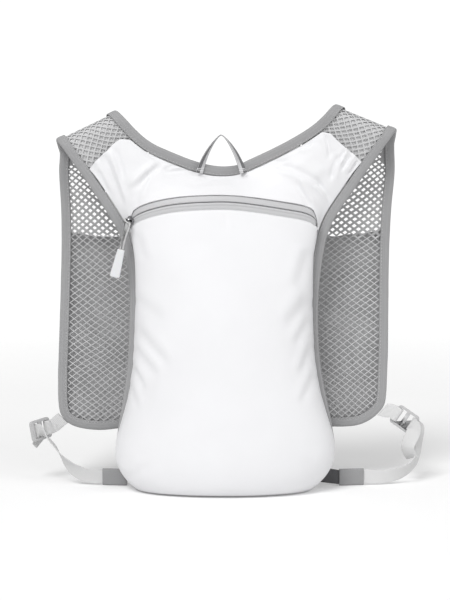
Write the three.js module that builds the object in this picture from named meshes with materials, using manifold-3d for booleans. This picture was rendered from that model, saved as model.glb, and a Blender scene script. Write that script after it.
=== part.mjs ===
// A light running backpack, standing on its base as it does when it is filled.
// The zipped bag is a thin hollow shell on a flat back. The harness goes up from the back, folds over the
// shoulders and hangs down behind as two net chest panels, which side straps tie to the base of the bag.
// Millimetres, +Z up. The bag's front faces -Y, the wearer's side +Y.
import * as THREE from "three";
import Module from "manifold-3d";

const wasm = await Module();
wasm.setup();

// Harness sizes
const harnessWidth = 356; // across the two shoulder corners
const harnessHeight = 398; // floor to the higher shoulder point
const meshWall = 2; // spacer mesh of the back, shoulders and chest panels
const foldRadius = 13; // the turn over each shoulder
const panelBow = 7; // how far a chest panel bows away behind
const bindingWidth = 10; // tape folded round every edge of the harness
const bindingWall = 1;
const slotClearance = 0.55; // mesh to the inside of the folded tape
const seamGap = 0.3; // between pieces that are sewn together

// Bag sizes
const bagDepth = 70; // the filled bag, seam to belly
const baseDepth = 50; // the flat that it stands on
const shellWall = 2.4;
const yokeWall = 1.6;
const zipDrop = 36; // lowest point of the neck down to the crown of the zip
const zipBand = 15; // both tapes together
const tapeWall = 1.2;
const yokeTilt = 5; // how much nearer to the back the upper edge of the zip lies
const mouthLift = 3; // the gathered shoulder ends of the yoke stand this far off the mesh

// Small parts
const netPitchAcross = 15; // lattice of the open net in the upper chest panels
const netPitchUp = 11;
const netHoleAcross = 8.6;
const netHoleUp = 6.4;
const netMargin = 8; // from the top edge of a pocket to the lowest holes
const pocketWall = 1.2;
const pocketBulge = 12;
const loopWidth = 8;
const loopWall = 1.2;
const loopSpan = 44;
const loopRise = 37;
const sliderLength = 10;
const sliderWidth = 8;
const sliderWall = 1.6;
const cordDiameter = 1.8;
const cordDrop = 30;
const tabLength = 29.5;
const tabWidth = 10.4;
const tabThickness = 4;
const webWidth = 15;
const webWall = 1.3;
const elasticWall = 1.8;
const buckleWidth = 22;
const buckleLength = 26;
const buckleThickness = 2.6;
const barLength = 4.4; // each crossbar of a buckle, along the strap
const tailLeft = 15; // webbing left over beyond each buckle
const tailRight = 33;
const sleeveLength = 26;
const sleeveWall = 1;
const anchorWall = 1.4;

const halfWidth = harnessWidth / 2;
const edgeInset = bindingWall + slotClearance; // the mesh stops this far inside the edge
const slotHalf = meshWall / 2 + slotClearance;
const bindingHalf = slotHalf + bindingWall;
const shellPlane = -bindingHalf - seamGap; // the bag's side seams lie on the face of the binding
const yokePlane = -meshWall / 2 - seamGap; // the yoke lies on the mesh, inside the binding
const farPlane = 2 * foldRadius;

// Armhole edge of the near side, from the middle of the base up to the shoulder.
// up is a share of harnessHeight, left and right are shares of halfWidth.
const armholeRows = [
  { up: 0.0012, left: 0.0, right: 0.0 },
  { up: 0.0012, left: 0.33, right: 0.32 },
  { up: 0.0035, left: 0.5, right: 0.49 },
  { up: 0.02, left: 0.578, right: 0.57 },
  { up: 0.05, left: 0.626, right: 0.622 },
  { up: 0.1, left: 0.646, right: 0.648 },
  { up: 0.156, left: 0.628, right: 0.633 },
  { up: 0.231, left: 0.599, right: 0.599 },
  { up: 0.307, left: 0.575, right: 0.566 },
  { up: 0.392, left: 0.562, right: 0.547 },
  { up: 0.495, left: 0.556, right: 0.546 },
  { up: 0.558, left: 0.565, right: 0.556 },
  { up: 0.618, left: 0.584, right: 0.574 },
  { up: 0.663, left: 0.612, right: 0.596 },
  { up: 0.701, left: 0.652, right: 0.628 },
  { up: 0.736, left: 0.707, right: 0.677 },
  { up: 0.779, left: 0.765, right: 0.743 },
  { up: 0.827, left: 0.841, right: 0.816 },
];

// Neck edge, left shoulder to right shoulder. across is a share of halfWidth.
const neckRows = [
  { across: -0.498, up: 0.93 },
  { across: -0.429, up: 0.906 },
  { across: -0.296, up: 0.878 },
  { across: -0.164, up: 0.856 },
  { across: -0.064, up: 0.8455 },
  { across: 0.017, up: 0.844 },
  { across: 0.072, up: 0.8475 },
  { across: 0.149, up: 0.863 },
  { across: 0.242, up: 0.882 },
  { across: 0.35, up: 0.9065 },
  { across: 0.443, up: 0.93 },
  { across: 0.52, up: 0.954 },
];

// Where each strap starts and ends its turn over the shoulder: near is the front, far the chest side.
const foldEnds = {
  left: {
    nearLateral: { across: -0.93, up: 0.8834 },
    nearMedial: { across: -0.567, up: 0.9626 },
    farLateral: { across: -0.97, up: 0.8749 },
    farMedial: { across: -0.631, up: 0.946 },
  },
  right: {
    nearLateral: { across: 0.947, up: 0.9083 },
    nearMedial: { across: 0.573, up: 0.9759 },
    farLateral: { across: 0.994, up: 0.8998 },
    farMedial: { across: 0.646, up: 0.9626 },
  },
};

// Chest panels below the turn: outer (lateral) and inner (medial) edges, as shares of halfWidth.
const chestRows = [
  { up: 0.829, latLeft: 0.976, medLeft: 0.565, latRight: 0.998, medRight: 0.575 },
  { up: 0.729, latLeft: 0.967, medLeft: 0.53, latRight: 0.981, medRight: 0.52 },
  { up: 0.628, latLeft: 0.968, medLeft: 0.505, latRight: 0.973, medRight: 0.495 },
  { up: 0.54, latLeft: 0.975, medLeft: 0.492, latRight: 0.972, medRight: 0.482 },
  { up: 0.427, latLeft: 0.984, medLeft: 0.495, latRight: 0.972, medRight: 0.482 },
  { up: 0.34, latLeft: 0.992, medLeft: 0.506, latRight: 0.971, medRight: 0.492 },
  { up: 0.27, latLeft: 0.997, medLeft: 0.523, latRight: 0.967, medRight: 0.515 },
  { up: 0.226, latLeft: 0.997, medLeft: 0.538, latRight: 0.962, medRight: 0.535 },
  { up: 0.15, latLeft: 0.997, medLeft: 0.56, latRight: 0.962, medRight: 0.565 },
];

// Hem of the chest panels. out runs from the inner edge (0) to the outer edge (1) at the bottom.
const hemRows = [
  { out: 1, upLeft: 0.2215, upRight: 0.226 },
  { out: 0.975, upLeft: 0.184, upRight: 0.204 },
  { out: 0.906, upLeft: 0.1626, upRight: 0.186 },
  { out: 0.789, upLeft: 0.1475, upRight: 0.167 },
  { out: 0.62, upLeft: 0.1392, upRight: 0.152 },
  { out: 0.41, upLeft: 0.1364, upRight: 0.1457 },
  { out: 0.2, upLeft: 0.14, upRight: 0.1457 },
  { out: 0, upLeft: 0.147, upRight: 0.151 },
];

// Seam between the bag's front and the yoke, side seam to side seam, which holds the zip.
// along is the share of the turn round the front, up a share of the zip's height, open the share of zipBand.
const bandRows = [
  { along: 0, up: 0.842, open: 0 },
  { along: 0.04, up: 0.874, open: 0 },
  { along: 0.075, up: 0.908, open: 0.1 },
  { along: 0.11, up: 0.933, open: 0.85 },
  { along: 0.16, up: 0.951, open: 1 },
  { along: 0.25, up: 0.973, open: 1 },
  { along: 0.35, up: 0.992, open: 1 },
  { along: 0.45, up: 1, open: 1 },
  { along: 0.52, up: 1, open: 1 },
  { along: 0.6, up: 0.99, open: 1 },
  { along: 0.7, up: 0.975, open: 1 },
  { along: 0.8, up: 0.961, open: 1 },
  { along: 0.87, up: 0.944, open: 0.92 },
  { along: 0.915, up: 0.922, open: 0.42 },
  { along: 0.94, up: 0.902, open: 0.08 },
  { along: 0.97, up: 0.87, open: 0 },
  { along: 1, up: 0.832, open: 0 },
];

// Front of the bag from the floor to the zip. up is a share of the band's height, deep of bagDepth,
// and inset the distance inside the armhole edge as a share of bindingWidth.
const shellRows = [
  { up: 0, deep: 0.714, inset: 0.6 },
  { up: 0.01, deep: 0.83, inset: 0.3 },
  { up: 0.035, deep: 0.91, inset: 0.12 },
  { up: 0.085, deep: 0.98, inset: -0.02 },
  { up: 0.15, deep: 1, inset: -0.08 },
  { up: 0.22, deep: 1, inset: -0.02 },
  { up: 0.29, deep: 0.99, inset: 0.3 },
  { up: 0.38, deep: 0.965, inset: 0.52 },
  { up: 0.5, deep: 0.91, inset: 0.58 },
  { up: 0.63, deep: 0.82, inset: 0.56 },
  { up: 0.76, deep: 0.69, inset: 0.62 },
  { up: 0.87, deep: 0.54, inset: 0.8 },
  { up: 0.94, deep: 0.44, inset: 0.95 },
  { up: 1, deep: 0.36, inset: 1.05 },
];
const sideFullness = 0.7; // 1 is a half round front, less is boxier
const pocketTop = 0.662; // top edge of the chest pockets, share of harnessHeight
const loopMiddle = -0.0215; // middle of the hang loop, share of halfWidth
const anchorStart = 0.53; // inner end of the strap anchor, share of halfWidth

// Soft dents in the front, as shares of halfWidth and harnessHeight. tilt is in degrees from level.
const dents = [
  { across: -0.47, up: 0.27, long: 0.16, broad: 0.035, tilt: -42, deep: 0.06 },
  { across: -0.52, up: 0.34, long: 0.12, broad: 0.03, tilt: -38, deep: 0.045 },
  { across: 0.46, up: 0.44, long: 0.14, broad: 0.04, tilt: 50, deep: 0.05 },
  { across: 0.47, up: 0.3, long: 0.13, broad: 0.035, tilt: 40, deep: 0.05 },
];

// Folds of the yoke. Each runs from the shoulder end towards the zip, in the yoke's own two directions:
// along from left to right, rise from the zip (0) to the neck (1). high is in shares of mouthLift.
const yokeFolds = [
  { along: 0.06, rise: 0.55, slant: 0.16, broad: 0.022, high: 0.9 },
  { along: 0.14, rise: 0.5, slant: 0.22, broad: 0.03, high: 1.2 },
  { along: 0.25, rise: 0.62, slant: 0.34, broad: 0.035, high: 1 },
  { along: 0.74, rise: 0.6, slant: -0.34, broad: 0.035, high: 1 },
  { along: 0.85, rise: 0.52, slant: -0.24, broad: 0.03, high: 1.2 },
  { along: 0.94, rise: 0.55, slant: -0.14, broad: 0.022, high: 0.9 },
];

// Steps of each surface
const bagColumns = 28;
const yokeLevels = 7;
const nearSteps = 24;
const foldSteps = 8;
const shoulderSteps = 3;
const neckSteps = 18;

const clothWhite = { color: 0xf4f4f6, roughness: 0.6 };
const meshGrey = { color: 0xa9a9ab, roughness: 0.9 };
const tapeGrey = { color: 0xb4b4b6, roughness: 0.8 };
const webGrey = { color: 0xd6d6d6, roughness: 0.75 };
const darkGrey = { color: 0x8c8c8e, roughness: 0.8 };
const metal = { color: 0xd0d0d0, roughness: 0.3, metalness: 1 };
const plasticGrey = { color: 0xbfbfbf, roughness: 0.45 };

const vec = (x, y, z) => new THREE.Vector3(x, y, z);
const lerp = THREE.MathUtils.lerp;
const clamp = THREE.MathUtils.clamp;
const smooth = THREE.MathUtils.smoothstep;
const signOf = { left: -1, right: 1 };
const flat = (spot, y = 0) => vec(spot.across * halfWidth, y, spot.up * harnessHeight);

// Reads a column of a table at a given value of its key column, on a smooth curve through the rows.
function readRows(rows, key, column, value) {
  const last = rows.length - 1;
  const at = clamp(value, Math.min(rows[0][key], rows[last][key]), Math.max(rows[0][key], rows[last][key]));
  const rising = rows[last][key] > rows[0][key];
  let i = 0;
  while (i < last - 1 && (rising ? rows[i + 1][key] < at : rows[i + 1][key] > at)) i++;
  const [a, b] = [rows[i], rows[i + 1]];
  const slope = (j) => {
    const [p, q] = [rows[Math.max(j - 1, 0)], rows[Math.min(j + 1, last)]];
    return (q[column] - p[column]) / (q[key] - p[key]);
  };
  const step = b[key] - a[key];
  const t = (at - a[key]) / step;
  const [t2, t3] = [t * t, t * t * t];
  return (
    (2 * t3 - 3 * t2 + 1) * a[column] +
    (t3 - 2 * t2 + t) * step * slope(i) +
    (3 * t2 - 2 * t3) * b[column] +
    (t3 - t2) * step * slope(i + 1)
  );
}

// A mesh geometry from points and triangles, with doubled points joined and every face turned outwards.
function closedGeometry(points, faces) {
  const index = new Map();
  const kept = [];
  const place = points.map((p) => {
    const key = [p.x, p.y, p.z].map((n) => Math.round(n * 2000)).join();
    if (!index.has(key)) {
      index.set(key, kept.length);
      kept.push(p);
    }
    return index.get(key);
  });
  const sound = faces
    .map((f) => f.map((i) => place[i]))
    .filter(([a, b, c]) => a !== b && b !== c && c !== a);
  const volume = sound.reduce((sum, [a, b, c]) => sum + kept[a].dot(vec().crossVectors(kept[b], kept[c])), 0);
  const turned = volume < 0 ? sound.map(([a, b, c]) => [a, c, b]) : sound;
  const geometry = new THREE.BufferGeometry().setFromPoints(kept);
  geometry.setIndex(turned.flat());
  return geometry;
}

// A closed solid between two grids of points with the same rows and columns.
function solidBetween(outer, inner) {
  const rows = outer.length;
  const columns = outer[0].length;
  const at = (layer, r, c) => (layer * rows + r) * columns + c;
  const faces = [];
  const quad = (a, b, c, d) => faces.push([a, b, c], [a, c, d]);
  for (let r = 0; r < rows - 1; r++) {
    for (let c = 0; c < columns - 1; c++) {
      quad(at(0, r, c), at(0, r, c + 1), at(0, r + 1, c + 1), at(0, r + 1, c));
      quad(at(1, r, c), at(1, r + 1, c), at(1, r + 1, c + 1), at(1, r, c + 1));
    }
    quad(at(0, r, 0), at(0, r + 1, 0), at(1, r + 1, 0), at(1, r, 0));
    const e = columns - 1;
    quad(at(0, r, e), at(1, r, e), at(1, r + 1, e), at(0, r + 1, e));
  }
  for (let c = 0; c < columns - 1; c++) {
    quad(at(0, 0, c), at(1, 0, c), at(1, 0, c + 1), at(0, 0, c + 1));
    const e = rows - 1;
    quad(at(0, e, c), at(0, e, c + 1), at(1, e, c + 1), at(1, e, c));
  }
  return closedGeometry([...outer.flat(), ...inner.flat()], faces);
}

// Sweeps a flat section along stations. Each station is a place with two directions, u and v.
function sweep(stations, section) {
  const count = section.length;
  const points = stations.flatMap(({ p, u, v }) =>
    section.map(([a, b]) => p.clone().addScaledVector(u, a).addScaledVector(v, b)),
  );
  const faces = [];
  for (let s = 0; s < stations.length - 1; s++) {
    for (let k = 0; k < count; k++) {
      const [a, b] = [s * count + k, s * count + ((k + 1) % count)];
      faces.push([a, b, b + count], [a, b + count, a + count]);
    }
  }
  const outline = section.map(([a, b]) => new THREE.Vector2(a, b));
  const end = (stations.length - 1) * count;
  const turn = THREE.ShapeUtils.area(outline) > 0;
  for (const [a, b, c] of THREE.ShapeUtils.triangulateShape(outline, [])) {
    faces.push(turn ? [a, c, b] : [a, b, c]);
    faces.push(turn ? [end + a, end + b, end + c] : [end + a, end + c, end + b]);
  }
  return closedGeometry(points, faces);
}

function welded(geometry) {
  const plain = geometry.index ? geometry.toNonIndexed() : geometry;
  const position = plain.getAttribute("position");
  const points = Array.from({ length: position.count }, (_, i) => vec().fromBufferAttribute(position, i));
  const faces = Array.from({ length: position.count / 3 }, (_, i) => [3 * i, 3 * i + 1, 3 * i + 2]);
  return closedGeometry(points, faces);
}

function toManifold(geometry) {
  const closed = welded(geometry);
  return new wasm.Manifold(
    new wasm.Mesh({
      numProp: 3,
      vertProperties: new Float32Array(closed.getAttribute("position").array),
      triVerts: new Uint32Array(closed.index.array),
    }),
  );
}

function fromManifold(solid) {
  const mesh = solid.getMesh();
  const geometry = new THREE.BufferGeometry();
  geometry.setAttribute("position", new THREE.BufferAttribute(mesh.vertProperties, mesh.numProp));
  geometry.setIndex(new THREE.BufferAttribute(mesh.triVerts, 1));
  return geometry;
}

// A prism over an outline in the XZ plane, from one depth to another.
function prism(outline, from, to) {
  const shape = new THREE.Shape(outline.map(([x, z]) => new THREE.Vector2(x, z)));
  const made = new THREE.ExtrudeGeometry(shape, { depth: to - from, bevelEnabled: false });
  return made.rotateX(Math.PI / 2).translate(0, to, 0);
}

const group = new THREE.Group();
function add(name, geometry, look) {
  const mesh = new THREE.Mesh(geometry, new THREE.MeshStandardMaterial(look));
  mesh.name = name;
  group.add(mesh);
  return mesh;
}

// Edge stations: a point on the outer edge of the binding, the way into the cloth, and the cloth's normal.
function edgeStations(points, normals, inside) {
  return points.map((p, i) => {
    const along = points[Math.min(i + 1, points.length - 1)].clone().sub(points[Math.max(i - 1, 0)]);
    const normal = normals[i];
    const inward = vec().crossVectors(along, normal).normalize().multiplyScalar(inside);
    return { p, u: inward, v: normal };
  });
}

const front = vec(0, -1, 0);

// Steps of the turn round the bag, closer together where the zip turns down at either side
const alongs = Array.from({ length: bagColumns + 1 }, (_, i) => {
  const t = i / bagColumns;
  return t - 0.08 * Math.sin(2 * Math.PI * t);
});
const zipHeight = Math.min(...neckRows.map((row) => row.up)) * harnessHeight - zipDrop;

// How far a chest panel bows away behind at a height
const bowTop = Math.min(foldEnds.left.farLateral.up, foldEnds.right.farLateral.up);
const hemLow = Math.min(...hemRows.map((row) => row.upLeft));
function farY(z) {
  const down = clamp((bowTop - z / harnessHeight) / (bowTop - hemLow), 0, 1);
  return farPlane + (panelBow * (1 - Math.cos(2 * Math.PI * Math.min(down, 0.62)))) / 2;
}
function farNormal(z) {
  return vec(0, 1, -(farY(z + 1) - farY(z - 1)) / 2).normalize();
}

// The turn over a shoulder. turn runs from 0 in front to 1 behind, across from the inner to the outer edge.
function foldPoint(side, turn, across, proud = 0) {
  const ends = foldEnds[side];
  const near = flat(ends.nearMedial).lerp(flat(ends.nearLateral), across);
  const far = flat(ends.farMedial).lerp(flat(ends.farLateral), across);
  const up = foldUp(side);
  const angle = Math.PI * turn;
  const centre = near.lerp(far, turn);
  const reach = foldRadius + proud;
  return centre.addScaledVector(up, reach * Math.sin(angle)).setY(foldRadius - reach * Math.cos(angle));
}
function foldUp(side) {
  const line = flat(foldEnds[side].nearMedial).sub(flat(foldEnds[side].nearLateral)).normalize();
  return vec(-line.z, 0, line.x).multiplyScalar(Math.sign(line.x));
}
function foldNormal(side, turn) {
  const angle = Math.PI * turn;
  return foldUp(side).multiplyScalar(Math.sin(angle)).addScaledVector(vec(0, 1, 0), -Math.cos(angle));
}

// Near armhole edge from the middle of the base to the start of the turn
const armholeCurve = {};
const armholeNear = {};
for (const side of ["left", "right"]) {
  const points = armholeRows.map((row) => flat({ across: signOf[side] * row[side], up: row.up }));
  points[0].x = signOf[side] * (seamGap / 2);
  const turnStart = flat(foldEnds[side].nearLateral);
  armholeCurve[side] = new THREE.CatmullRomCurve3([...points, turnStart], false, "centripetal");
  armholeNear[side] = armholeCurve[side].getSpacedPoints(nearSteps);
}
const neckCurve = new THREE.CatmullRomCurve3(
  [flat(foldEnds.left.nearMedial), ...neckRows.map((row) => flat(row)), flat(foldEnds.right.nearMedial)],
  false,
  "centripetal",
);
const neckNear = neckCurve.getSpacedPoints(neckSteps);

// Half width of the near side at a height, above the rounded corners of the base
function armholeX(side, z) {
  const points = armholeCurve[side].getPoints(160).filter((p) => Math.abs(p.x) > 0.5 * halfWidth);
  let best = points[0];
  for (let i = 0; i < points.length - 1; i++) {
    const [a, b] = [points[i], points[i + 1]];
    if (a.z <= z && b.z >= z) {
      return Math.abs(lerp(a.x, b.x, (z - a.z) / Math.max(b.z - a.z, 1e-6)));
    }
    if (Math.abs(b.z - z) < Math.abs(best.z - z)) best = b;
  }
  return Math.abs(best.x);
}

// Chest panel edges behind: the outer edge down to the hem, and the inner edge
const rowSteps = chestRows.slice(0, -1);
function chestEdges(side) {
  const s = signOf[side];
  const keys = { left: ["latLeft", "medLeft", "upLeft"], right: ["latRight", "medRight", "upRight"] };
  const [latKey, medKey, hemKey] = keys[side];
  const at = (across, up) => {
    const z = up * harnessHeight;
    return vec(s * across * halfWidth, farY(z), z);
  };
  const low = chestRows[chestRows.length - 1];
  const lateral = rowSteps.slice(0, -1).map((row) => at(row[latKey], row.up));
  const foot = hemRows[hemRows.length - 1][hemKey];
  const medial = chestRows.map((row) => at(row[medKey], Math.max(row.up, foot)));
  const hem = hemRows.map((row) => at(lerp(low[medKey], low[latKey], row.out), row[hemKey]));
  return { lateral, medial, hem };
}

// The strap's turn as stations of the outer or inner edge
function foldEdge(side, across) {
  const turns = Array.from({ length: foldSteps + 1 }, (_, i) => i / foldSteps);
  return {
    points: turns.map((t) => foldPoint(side, t, across)),
    normals: turns.map((t) => foldNormal(side, t)),
  };
}

const inwardSign = { left: 1, right: -1 };
const bindingSection = [
  [0, -bindingHalf],
  [bindingWidth, -bindingHalf],
  [bindingWidth, -slotHalf],
  [bindingWall, -slotHalf],
  [bindingWall, slotHalf],
  [bindingWidth, slotHalf],
  [bindingWidth, bindingHalf],
  [0, bindingHalf],
];

// Armhole binding: base, side of the bag, over the shoulder, down the chest panel and along its hem
function armholeStations(side) {
  const near = armholeNear[side];
  const fold = foldEdge(side, 1);
  const { lateral, hem, medial } = chestEdges(side);
  const stop = Math.abs(medial[medial.length - 1].x) + bindingWidth + seamGap;
  const along = hem.filter((p) => Math.abs(p.x) > stop + bindingWidth / 2);
  const [last, next] = [along[along.length - 1], hem[along.length]];
  const reach = (Math.abs(last.x) - stop) / (Math.abs(last.x) - Math.abs(next.x));
  const hemEnd = last.clone().lerp(next, reach);
  const far = [...lateral, ...along, hemEnd];
  const points = [...near.slice(0, -1), ...fold.points, ...far];
  const normals = [...near.slice(0, -1).map(() => front), ...fold.normals, ...far.map((p) => farNormal(p.z))];
  return edgeStations(points, normals, inwardSign[side]);
}

// Neck binding: up the left chest panel, over the shoulder, round the neck and down the right side
function neckStations() {
  const left = foldEdge("left", 0);
  const right = foldEdge("right", 0);
  const [farLeft, farRight] = [chestEdges("left").medial, chestEdges("right").medial];
  const points = [
    ...farLeft.toReversed(),
    ...left.points.toReversed(),
    ...neckNear.slice(1, -1),
    ...right.points,
    ...farRight,
  ];
  const normals = [
    ...farLeft.toReversed().map((p) => farNormal(p.z)),
    ...left.normals.toReversed(),
    ...neckNear.slice(1, -1).map(() => front),
    ...right.normals,
    ...farRight.map((p) => farNormal(p.z)),
  ];
  return edgeStations(points, normals, 1);
}

const armholes = { left: armholeStations("left"), right: armholeStations("right") };
const neck = neckStations();
const inset = ({ p, u }) => p.clone().addScaledVector(u, edgeInset);

add("armhole_binding_left", sweep(armholes.left, bindingSection), tapeGrey);
add("armhole_binding_right", sweep(armholes.right, bindingSection), tapeGrey);
add("neck_binding", sweep(neck, bindingSection), tapeGrey);

// The back panel is butted to the shoulder mesh under the yoke, a few steps below the turn
const farSteps = chestEdges("left").medial.length;
const armholeSeam = nearSteps - shoulderSteps;
const neckStart = farSteps + foldSteps + shoulderSteps;
const neckEnd = neck.length - 1 - neckStart;

// A row of the mesh from its outer to its inner edge, straight into each binding and then across
function meshRow(outer, inner) {
  const at = (station, reach) => station.p.clone().addScaledVector(station.u, reach);
  const tucked = bindingWidth + slotClearance;
  const [a, b] = [at(outer, tucked), at(inner, tucked)];
  return [at(outer, edgeInset), a, a.clone().lerp(b, 0.5), b, at(inner, edgeInset)];
}

// The flat back, inside the bindings
function backPanel() {
  const side = (name) => armholes[name].slice(0, armholeSeam).map(inset);
  const seam = (name, inner) => meshRow(armholes[name][armholeSeam], inner);
  const outline = [
    ...side("left"),
    ...seam("left", neck[neckStart]),
    ...neck.slice(neckStart + 1, neckEnd).map(inset),
    ...seam("right", neck[neckEnd]).toReversed(),
    ...side("right").toReversed(),
  ];
  return prism(outline.map((p) => [p.x, p.z]), -meshWall / 2, meshWall / 2);
}
add("back_panel", backPanel(), meshGrey);

// Net holes of the upper chest panels, diamonds on a staggered lattice
function netHoles(side, low, high, edgeLat, edgeMed) {
  const s = signOf[side];
  const holes = [];
  const inX = (z, rows) => Math.abs(readRows(rows, "z", "x", z));
  for (let row = 0; low + (row * netPitchUp) / 2 < high; row++) {
    const z = low + (row * netPitchUp) / 2;
    const [outer, inner] = [inX(z, edgeLat), inX(z, edgeMed)];
    const room = bindingWidth + netHoleAcross / 2 + meshWall;
    const shift = row % 2 ? netPitchAcross / 2 : 0;
    for (let x = inner + room + shift; x < outer - room; x += netPitchAcross) {
      const [a, b] = [netHoleAcross / 2, netHoleUp / 2];
      holes.push(
        prism(
          [
            [s * x - a, z],
            [s * x, z - b],
            [s * x + a, z],
            [s * x, z + b],
          ],
          foldRadius,
          farPlane + 2 * panelBow + meshWall,
        ),
      );
    }
  }
  return holes;
}

// Shoulder mesh: from the seam under the yoke, over the shoulder and down to the hem of the chest panel
function shoulderMesh(side) {
  const medialAll = side === "left" ? neck.slice(0, neckStart + 1).toReversed() : neck.slice(neckEnd);
  const count = shoulderSteps + foldSteps + farSteps + 1;
  const medial = medialAll.slice(0, count);
  const lateral = armholes[side].slice(armholeSeam, armholeSeam + count - 2);
  const low = lateral[lateral.length - 1];
  const s = signOf[side];
  const hemRow = chestRows[chestRows.length - 1];
  const latX = s * halfWidth * (side === "left" ? hemRow.latLeft : hemRow.latRight);
  const drop = (station, z, x) => ({ ...station, p: vec(x, farY(z), z) });
  const foot = medial[medial.length - 1];
  lateral.push(drop(low, medial[count - 2].p.z, latX), drop(low, foot.p.z, latX));
  const below = foot.p.z - bindingWidth;
  medial.push(drop(foot, below, foot.p.x));
  lateral.push(drop(low, below, latX));
  const part = seamGap / medial[0].p.distanceTo(medial[1].p);
  const rows = lateral.map((station, r) => meshRow(station, medial[r]));
  rows[0] = rows[0].map((p, c) => p.clone().lerp(rows[1][c], part));
  const layer = (offset) =>
    rows.map((points, r) => points.map((p) => p.clone().addScaledVector(medial[r].v, offset)));
  let solid = toManifold(solidBetween(layer(meshWall / 2), layer(-meshWall / 2)));
  const { hem, lateral: lat, medial: med } = chestEdges(side);
  const hemLine = edgeStations(hem, hem.map((p) => farNormal(p.z)), inwardSign[side]).map(inset);
  const beyond = vec(s * harnessWidth, 0, hemLine[0].z);
  const outline = [
    [beyond.x, beyond.z],
    ...hemLine.map((p) => [p.x, p.z]),
    [0, hemLine[hemLine.length - 1].z],
    [0, -harnessHeight],
    [beyond.x, -harnessHeight],
  ];
  solid = solid.subtract(toManifold(prism(outline, foldRadius, harnessWidth)));
  const netLow = pocketTop * harnessHeight + netMargin;
  const netHigh = foldEnds[side].farLateral.up * harnessHeight - foldRadius / 2;
  const asRows = (points) => points.map((p) => ({ z: p.z, x: p.x }));
  const top = [foldPoint(side, 1, 1), foldPoint(side, 1, 0)];
  for (const hole of netHoles(side, netLow, netHigh, asRows([top[0], ...lat]), asRows([top[1], ...med]))) {
    solid = solid.subtract(toManifold(hole));
  }
  return fromManifold(solid);
}
add("shoulder_mesh_left", shoulderMesh("left"), meshGrey);
add("shoulder_mesh_right", shoulderMesh("right"), meshGrey);

// Chest pockets: a slack sheet on the outside of each chest panel, open at the top
function chestPocket(side) {
  const s = signOf[side];
  const { lateral, medial, hem } = chestEdges(side);
  const asRows = (points) => points.map((p) => ({ z: p.z, x: Math.abs(p.x) }));
  const outside = [...asRows(lateral), ...asRows(hem.filter((_, i) => hemRows[i].out > 0.85))];
  const inner = asRows(medial);
  const margin = bindingWidth + seamGap + meshWall;
  const hemZ = Math.max(...hem.filter((_, i) => hemRows[i].out < 0.85).map((p) => p.z));
  const [low, high] = [hemZ + margin + 2 * meshWall, pocketTop * harnessHeight];
  const levels = 7;
  const columns = 8;
  const grid = (proud, shrink) =>
    Array.from({ length: levels + 1 }, (_, r) => {
      const share = r / levels;
      const z = lerp(low, high, share);
      const [near, far] = [readRows(inner, "z", "x", z) + margin, readRows(outside, "z", "x", z) - margin];
      return Array.from({ length: columns + 1 }, (_, c) => {
        const x = s * lerp(near, far, c / columns);
        const dome = Math.sin((Math.PI * c) / columns) ** 0.6;
        const lift = smooth(share, 0, 0.25) * (1 - 0.35 * smooth(share, 0.6, 1));
        const y = farY(z) + meshWall / 2 + seamGap + proud + (pocketBulge - shrink) * dome * lift;
        return vec(x, y, z);
      });
    });
  return solidBetween(grid(pocketWall, 0), grid(0, 0));
}
add("chest_pocket_left", chestPocket("left"), meshGrey);
add("chest_pocket_right", chestPocket("right"), meshGrey);

// The seam that holds the zip
const bandUp = (along) => readRows(bandRows, "along", "up", along) * zipHeight;
const bandHalf = (along) => {
  const open = clamp(readRows(bandRows, "along", "open", along), 0, 1);
  return Math.max((open * zipBand) / 2, seamGap / 2);
};

function dentDepth(x, z) {
  return dents.reduce((sum, dent) => {
    const [dx, dz] = [x - dent.across * halfWidth, z - dent.up * harnessHeight];
    const tilt = THREE.MathUtils.degToRad(dent.tilt);
    const lengthwise = (dx * Math.cos(tilt) + dz * Math.sin(tilt)) / (dent.long * halfWidth);
    const sideways = (dz * Math.cos(tilt) - dx * Math.sin(tilt)) / (dent.broad * halfWidth);
    return sum + dent.deep * bagDepth * Math.exp(-lengthwise * lengthwise - sideways * sideways);
  }, 0);
}

// A point of the bag's front. along turns from the left seam to the right, wall goes inwards from the cloth.
function frontPoint(along, row, wall, lift = 0) {
  const side = along < 0.5 ? "left" : "right";
  const angle = Math.PI * along;
  const top = bandUp(along) - bandHalf(along);
  const z = lift + row.up * top;
  const half = armholeX(side, Math.max(z, 0.012 * harnessHeight)) - row.inset * bindingWidth - wall;
  const x = -half * Math.cos(angle);
  const fullness = Math.sin(angle) ** sideFullness;
  const belly = row.deep * bagDepth * fullness - dentDepth(x, z) * fullness - wall * Math.min(1, row.deep);
  return vec(x, shellPlane - Math.max(belly, 0), z);
}

function frontShell() {
  const baseSteps = 3;
  const skin = (wall) => {
    const rows = shellRows.map((row) => {
      const lift = wall * (1 - row.up);
      return alongs.map((along) => frontPoint(along, row, wall, lift));
    });
    const floorRow = rows[0];
    const base = Array.from({ length: baseSteps }, (_, b) => {
      const share = b / baseSteps;
      return floorRow.map((p) => vec(p.x, lerp(shellPlane, p.y, share), p.z));
    });
    return [...base, ...rows];
  };
  return solidBetween(skin(0), skin(shellWall));
}
add("front_panel", frontShell(), clothWhite);

// The line of a zip edge: level -1 is the edge of the front panel, 0 the middle and 1 the edge of the yoke.
const topRow = shellRows[shellRows.length - 1];
function bandPoint(along, level, wall) {
  const side = along < 0.5 ? "left" : "right";
  const angle = Math.PI * along;
  const z = bandUp(along) + level * bandHalf(along);
  const seamZ = bandUp(along) - bandHalf(along);
  const half = armholeX(side, seamZ) - topRow.inset * bindingWidth - wall;
  const deep = topRow.deep * bagDepth - ((level + 1) * yokeTilt * bandHalf(along)) / zipBand;
  const belly = deep * Math.sin(angle) ** sideFullness - wall;
  return vec(-half * Math.cos(angle), shellPlane - Math.max(belly, 0), z);
}

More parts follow.
